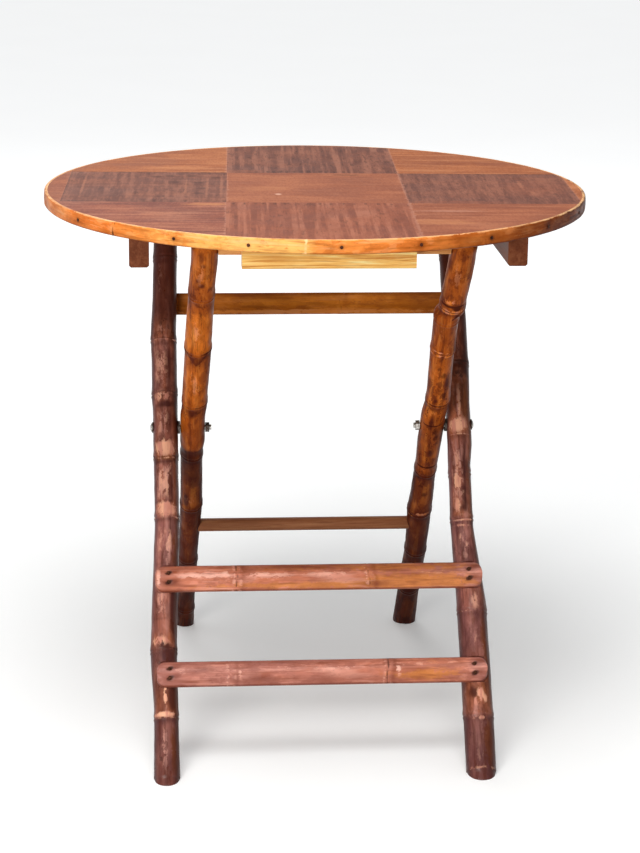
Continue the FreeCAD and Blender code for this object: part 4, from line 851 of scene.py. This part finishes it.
INNER_LEFT_PANELS = [
    (0.53, 0.63, 260, 40, 0.6, 0.1), (0.66, 0.76, 255, 30, 0.7, 0.2), (0.79, 0.87, 250, 30, 0.6, 0.2),
    (0.92, 0.99, 255, 30, 0.5, 0.15),
]
pole("inner_pole_left", -INNER_X, BACK_FOOT, amber_cane, "inner_frame", seed=37,
     foot=(0.84, -0.2), rings=INNER_LEFT_RINGS, end_shift=9 * MM, tones=INNER_LEFT_TONES,
     marks=(AMBER_SIDE_SHADE, INNER_LEFT_MARKS), panels=INNER_LEFT_PANELS, scars=[(0.772, 262, 11, 16, 0.62)])

INNER_RIGHT_TONES = [
    (0, 1, 0.9, 0, 0.4), (0.11, 1, 0.7, 0, 0.5), (0.23, 0.94, 0.6, 0, 0.6), (0.3, 0.86, 0.5, 0, 0.6),
    (0.345, 0.84, 0.5, 0, 0.8), (0.37, 0.76, 0.5, 0, 0.9), (0.45, 0.78, 0.5, 0, 1), (0.47, 0.58, 0.2, 0.1, 1),
    (0.56, 0.56, 0.2, 0.1, 1), (0.6, 0.42, 0.1, 0.2, 1), (0.66, 0.34, 0.1, 0.2, 1),
    (0.76, 0.34, 0.1, 0.2, 0.8), (0.8, 0.36, 0.3, 0.1, 0.3), (0.86, 0.36, 0.3, 0.1, 0.4),
    (0.885, 0.45, 0.3, 0, 1), (0.92, 0.46, 0.1, 0.3, 0.8), (1, 0.5, 0.1, 0.3, 0.6),
]
INNER_RIGHT_MARKS = {
    "joint": [(0.884, 262, 2, 18, 1), (0.88, 282, 4, 5, 0.9), (0.86, 290, 8, 3, 0.7), (0.735, 258, 5, 4, 0.5),
        (0.72, 284, 7, 4, 0.55), (0.67, 292, 9, 4, 0.6), (0.585, 244, 8, 4, 0.5), (0.575, 276, 9, 5, 0.55),
        (0.592, 262, 1.6, 18, 0.8), (0.56, 286, 8, 5, 0.6), (0.54, 258, 8, 4, 0.5), (0.48, 262, 2.2, 18, 0.9),
        (0.43, 248, 8, 5, 0.6), (0.405, 272, 6, 5, 0.55)],
    "worn": [(0.893, 244, 5, 7, 0.6), (0.898, 266, 3, 6, 0.4), (0.872, 258, 4.4, 19, 0.62),
        (0.775, 246, 1.5, 8, 0.75), (0.768, 262, 1.5, 6, 0.75), (0.774, 278, 1.5, 6, 0.6),
        (0.352, 262, 3, 14, 0.45)],
    "stain_and_shade": [(0.7, 300, 12, 4, 0.7), (0.655, 252, 5, 3, 0.6), (0.6, 256, 12, 3, 0.6),
        (0.52, 272, 8, 3, 0.5)],
    "gold": [(0.5, 250, 10, 6, 0.5)],
    # painted highlights down the front
    "highlight_and_pale_line": [(0.62, 250, 10, 5, 0.35), (0.82, 252, 16, 5, 0.25), (0.95, 250, 22, 5, 0.5),
        (0.29, 262, 14, 5, 0.16)],
}
INNER_RIGHT_PANELS = [
    (0.66, 0.76, 250, 30, 0.6, 0.15), (0.79, 0.83, 262, 42, 0.6, 0.1), (0.9, 0.99, 262, 30, 0.6, 0.15),
]
pole("inner_pole_right", INNER_X, BACK_FOOT, amber_cane, "inner_frame", seed=53,
     foot=(1.04, 0.06), rings=INNER_RIGHT_RINGS, end_shift=6 * MM, tones=INNER_RIGHT_TONES,
     marks=(AMBER_SIDE_SHADE, INNER_RIGHT_MARKS), panels=INNER_RIGHT_PANELS)

# Front stretchers and back crossbar. Their joints are (place in mm, dark line, pale line), tones run along
# them as (place in m, stain, cool, gold, fleck), marks are (place and height, half width and half height in
# mm, strength)
UPPER_MARKS = {
    "stain_and_shade": [(0, 11, 190, 5, 0.3), (-166, -7, 12, 3.5, 0.5), (60, -10, 20, 3.5, 0.5), (-20, 11, 26, 2, 0.4)],
    "gold": [(0, 9, 190, 4, 0.3), (0, -10.5, 190, 3.6, 0.5), (110, -7, 60, 6, 0.5)],
    # painted highlights along the face
    "highlight_and_pale_line": [(-130, 1.5, 34, 4.5, 0.75), (-60, 1, 34, 5, 0.55), (10, 2, 44, 4, 0.45), (130, 3, 30, 4, 0.3)],
    "worn": [(-105, 1, 7, 7, 0.55), (-181, 0, 3, 12, 0.6)],
    "cool": [(150, 7, 22, 4.5, 0.7)],
}
UPPER_TONES = [
    (-0.185, 0.4, 0.5, 0, 0.2), (-0.16, 0.25, 0.2, 0, 0.2), (-0.1, 0.25, 0.1, 0.1, 0.2),
    (0, 0.28, 0.1, 0.2, 0.2), (0.08, 0.3, 0, 0.4, 0.2), (0.15, 0.3, 0.3, 0.4, 0.2),
    (0.18, 0.35, 0.8, 0.2, 0.3),
]
slat("front_stretcher_upper", UPPER, UPPER_SHARE, TO_THE_FRONT, pink_cane,
     seed=71, joints=[(-93.8, 0.6, 0.45), (55.8, 0.45, 0.4)], tones=UPPER_TONES, marks=UPPER_MARKS)

LOWER_MARKS = {
    "stain_and_shade": [(0, -9.5, 190, 4, 0.3), (0, 11, 190, 2.5, 0.2), (-135, 4, 12, 7, 0.35), (-70, -4, 16, 6, 0.4)],
    "gold": [(110, -6, 46, 5, 0.5)],
    "worn": [(-92, 0, 3, 10, 0.45), (84, 0, 4, 9, 0.55)],
    # painted highlights along the face
    "highlight_and_pale_line": [(-40, 5, 30, 4, 0.35), (20, 3, 40, 4, 0.4), (100, 6, 30, 4, 0.4), (-160, 2, 14, 6, 0.3),
        (140, 8, 16, 3, 0.4)],
    "cool": [(172, 0, 8, 10, 0.5), (-60, 8, 20, 3, 0.4)],
}
LOWER_TONES = [
    (-0.185, 0.4, 0.9, 0, 0.2), (-0.1, 0.32, 0.8, 0, 0.2), (0, 0.3, 0.6, 0, 0.2), (0.07, 0.28, 0.4, 0.1, 0.2),
    (0.12, 0.25, 0.2, 0.3, 0.2), (0.16, 0.28, 0.4, 0.2, 0.2), (0.18, 0.35, 0.9, 0, 0.3),
]
slat("front_stretcher_lower", LOWER, LOWER_SHARE, TO_THE_FRONT, pink_cane,
     seed=83, joints=[(-103, 0.4, 0.4), (72, 0.6, 0.35)], tones=LOWER_TONES, marks=LOWER_MARKS)

CROSSBAR_MARKS = {
    "worn": [(0, -10.5, 170, 3.4, 0.8)],
    "stain_and_shade": [(0, 12, 190, 2.2, 0.6)],
    "gold": [(-40, 2, 60, 4, 0.4)],
}
CROSSBAR_TONES = [
    (-0.18, 0.5, 0.3, 0.1, 0.4), (-0.06, 0.25, 0.1, 0.3, 0.3), (0.05, 0.15, 0, 0.5, 0.2),
    (0.18, 0.45, 0.3, 0.2, 0.3),
]
slat("back_crossbar", CROSSBAR, CROSSBAR_SHARE, TO_THE_BACK, amber_split,
     seed=97, joints=[(40.3, 0.5, 0.3)], tones=CROSSBAR_TONES, marks=CROSSBAR_MARKS)


# Edge band: one strip round the front, one round the back
BAND_JOINT = math.radians(100)
BAND_GAP = 0.1 * MM / RIM_RADIUS
BAND_STEP = math.radians(0.5)
BAND_CROWN = 0.7 * MM


def band(name, start, stop, joints, tones):
    """Angles run from the front middle, positive to the right."""
    angles = np.append(np.arange(start + BAND_GAP, stop - BAND_GAP, BAND_STEP), stop - BAND_GAP)
    half_tall = TOP_THICKNESS / 2
    face_v = np.linspace(-1, 1, 19)
    face = RIM_RADIUS - BAND_CROWN * np.abs(face_v) ** 2.6
    face = face - 0.9 * MM * np.clip((np.abs(face_v) - 0.86) / 0.14, 0, 1) ** 2
    middle, inside = RIM_RADIUS - BAND_THICKNESS / 2, RIM_RADIUS - BAND_THICKNESS
    section_r = np.append(face, [middle, inside, inside, inside, middle])
    section_v = np.append(face_v, [1, 1, 0, -1, -1]) * half_tall
    a, r = np.meshgrid(angles, section_r, indexing="ij")
    v = np.meshgrid(angles, section_v, indexing="ij")[1]
    outside = r > RIM_RADIUS - BAND_THICKNESS * 0.45
    arc = a * RIM_RADIUS
    paint = Paint(np.degrees(a), tones)
    for degrees, dark, pale in joints:
        away = arc - math.radians(degrees) * RIM_RADIUS - 0.12 * v
        r = r + outside * relief(away, BAND_RELIEF)
        paint.ring(away, BAND_RING, dark, pale)
    r = np.minimum(r, RIM_RADIUS + 0.3 * MM)
    height = v / half_tall
    # a painted highlight along the upper edge; the lower edge darker
    paint.mark("highlight_and_pale_line", 0.6 * np.clip((height - 0.84) / 0.12, 0, 1))
    paint.mark("stain_and_shade", 0.5 * np.clip((-height - 0.72) / 0.24, 0, 1))
    for degrees in EDGE_NAILS:
        off = np.hypot(arc - math.radians(degrees) * RIM_RADIUS, v)
        paint.mark("stain_and_shade", 0.6 * bell(off, 3.0 * MM))
        paint.mark("joint", 0.4 * bell(off, 2.4 * MM))
    points = np.stack([r * np.sin(a), -r * np.cos(a), TOP_LEVEL - half_tall + v], axis=-1)
    straight = np.stack([r - RIM_RADIUS, v, arc], axis=-1)
    faces = closed_tube(points)
    piece(name, points, faces, golden_cane, "table_top", (name,), straight, paint.masks)


EDGE_NAILS = [-59.8, -32.5, -17, 0.8, 16.5, 32.5, 50, 67, 84, *[101 + 16.5 * n for n in range(10)], -94]
# the front strip is palest left of the middle and darkens toward the right: partly its own colour, partly
# painted shade
band("edge_band_front", -BAND_JOINT, BAND_JOINT, joints=[
    (-84, 0.5, 0.3), (-47.8, 0.85, 0.3), (-5.5, 0.25, 0.8), (31, 0.3, 0.15), (68.6, 0.6, 0.1),
], tones=[
    (-100, 0.6, 0.5, 0, 0.3), (-75, 0.35, 0.8, 0, 0.3), (-60, 0.16, 0.9, 0.1, 0.3),
    (-49, 0.12, 0.9, 0.1, 0.4), (-46, 0.12, 0.75, 0.2, 0.2), (-25, 0.03, 0.35, 0.45, 0.15),
    (-6, 0.02, 0.15, 0.7, 0.1), (-4, 0.06, 0.55, 0.2, 0.2), (12, 0.12, 0.75, 0.1, 0.3),
    (25, 0.42, 0.8, 0, 0.3), (40, 0.7, 0.9, 0, 0.4), (55, 0.92, 1, 0, 0.4), (70, 1, 1, 0, 0.4),
    (100, 1, 0.9, 0, 0.3),
])
band("edge_band_back", BAND_JOINT, 2 * math.pi - BAND_JOINT, joints=[
    (118, 0.6, 0.2), (158, 0.5, 0.3), (201, 0.6, 0.2), (243, 0.5, 0.3),
], tones=[
    (100, 0.6, 0.5, 0, 0.3), (140, 0.4, 0.6, 0.1, 0.3), (180, 0.3, 0.5, 0.2, 0.3), (220, 0.25, 0.6, 0.1, 0.3),
    (260, 0.5, 0.5, 0, 0.3),
])

# Floor, air and lamps
RAY_KINDS = ("Is Camera Ray", "Is Glossy Ray", "Is Transmission Ray")


def seen_directly(f):
    """1 for the rays that look at the floor or the air, 0 for those that carry light to the object."""
    rays = f.node("LightPath")
    seen = rays.outputs[RAY_KINDS[0]]
    for kind in RAY_KINDS[1:]:
        seen = f.math("MAXIMUM", seen, rays.outputs[kind])
    return seen


def studio_floor(reach):
    mesh = bpy.data.meshes.new("studio_floor")
    mesh.from_pydata([(-reach, -reach, 0), (reach, -reach, 0), (reach, reach, 0), (-reach, reach, 0)], [],
                     [(0, 1, 2, 3)])
    made = placed("studio_floor", mesh)
    f = Finish("studio_paper", roughness=0.95, specular=0.05)
    mottle = f.span(f.noise(f.place(), 3, 2, 0.5), 0.3, 0.7)
    pale = f.mix(mottle, (0.86, 0.86, 0.85), (0.88, 0.88, 0.87))
    seen = seen_directly(f)
    f.colour(f.mix(seen, (0.5, 0.5, 0.49), pale))
    # the far floor brightens toward the pale horizon
    away = f.node("VectorMath", {0: f.place()}, operation="LENGTH")
    glow = f.times(f.span(away.outputs["Value"], 0.0, 3.2, 0.16, 0.62), seen)
    f.shader.inputs["Emission Color"].default_value = (1.0, 1.0, 1.0, 1.0)
    f.feed(f.shader.inputs["Emission Strength"], glow)
    mesh.materials.append(f.material)


studio_floor(14.0)


def lamp(name, place, aim, size, watts, tint=(1, 1, 1)):
    data = bpy.data.lights.new(name, "AREA")
    data.shape = "DISK"
    data.size = size
    data.energy = watts
    data.color = tint
    made = placed(name, data)
    made.location = place
    made.rotation_euler = (Vector(aim) - Vector(place)).to_track_quat("-Z", "Y").to_euler()


MIDDLE = (0, 0, 0.4)
lamp("overhead", (-0.3, -0.9, 3.0), MIDDLE, 2.0, 60)
lamp("key", (-1.5, -3.3, 1.0), MIDDLE, 1.6, 80, (1.0, 0.98, 0.95))
lamp("back_fill", (-0.6, 2.6, 2.4), MIDDLE, 2.0, 20, (0.98, 0.99, 1.0))


def air():
    """Pale round the horizon, dimmer overhead, and a low even light on the object."""
    world = bpy.data.worlds.new("studio_air")
    bpy.context.scene.world = world
    world.use_nodes = True
    f = Finish.__new__(Finish)
    f.tree = world.node_tree
    split = f.node("SeparateXYZ", {0: f.node("TexCoord").outputs["Generated"]})
    seen = f.mix(f.span(split.outputs[2], 0.02, 0.22), (0.9, 0.9, 0.9), (0.3, 0.31, 0.32))
    glow = f.mix(seen_directly(f), (0.3, 0.31, 0.32), seen)
    background = world.node_tree.nodes["Background"]
    f.feed(background.inputs["Color"], glow)
    background.inputs["Strength"].default_value = 1.0


air()

# Camera at the photograph's place: its turn, tilt and roll
FOCAL_PIXELS = 2344.0
PHOTO_TALL = 853.0
SENSOR = 36.0
CAMERA_PLACE = Vector((-0.2008, -2.6193, 1.0722))
TURN, TILT, ROLL = math.radians(4.58), math.radians(15.78), math.radians(0.71)
look = Vector((math.sin(TURN) * math.cos(TILT), math.cos(TURN) * math.cos(TILT), -math.sin(TILT)))
right = Vector((math.cos(TURN), -math.sin(TURN), 0.0))
up = right.cross(look)
rolled_right = math.cos(ROLL) * right + math.sin(ROLL) * up
rolled_up = math.cos(ROLL) * up - math.sin(ROLL) * right
camera_data = bpy.data.cameras.new("camera")
camera_data.sensor_fit = "VERTICAL"
camera_data.sensor_height = SENSOR
camera_data.sensor_width = SENSOR
camera_data.lens = FOCAL_PIXELS * SENSOR / PHOTO_TALL
camera_data.clip_end = 50
camera = placed("camera", camera_data)
axes = Matrix((rolled_right, rolled_up, -look)).transposed()
camera.matrix_world = Matrix.Translation(CAMERA_PLACE) @ axes.to_4x4()
bpy.context.scene.camera = camera
bpy.context.scene.view_settings.view_transform = "Standard"
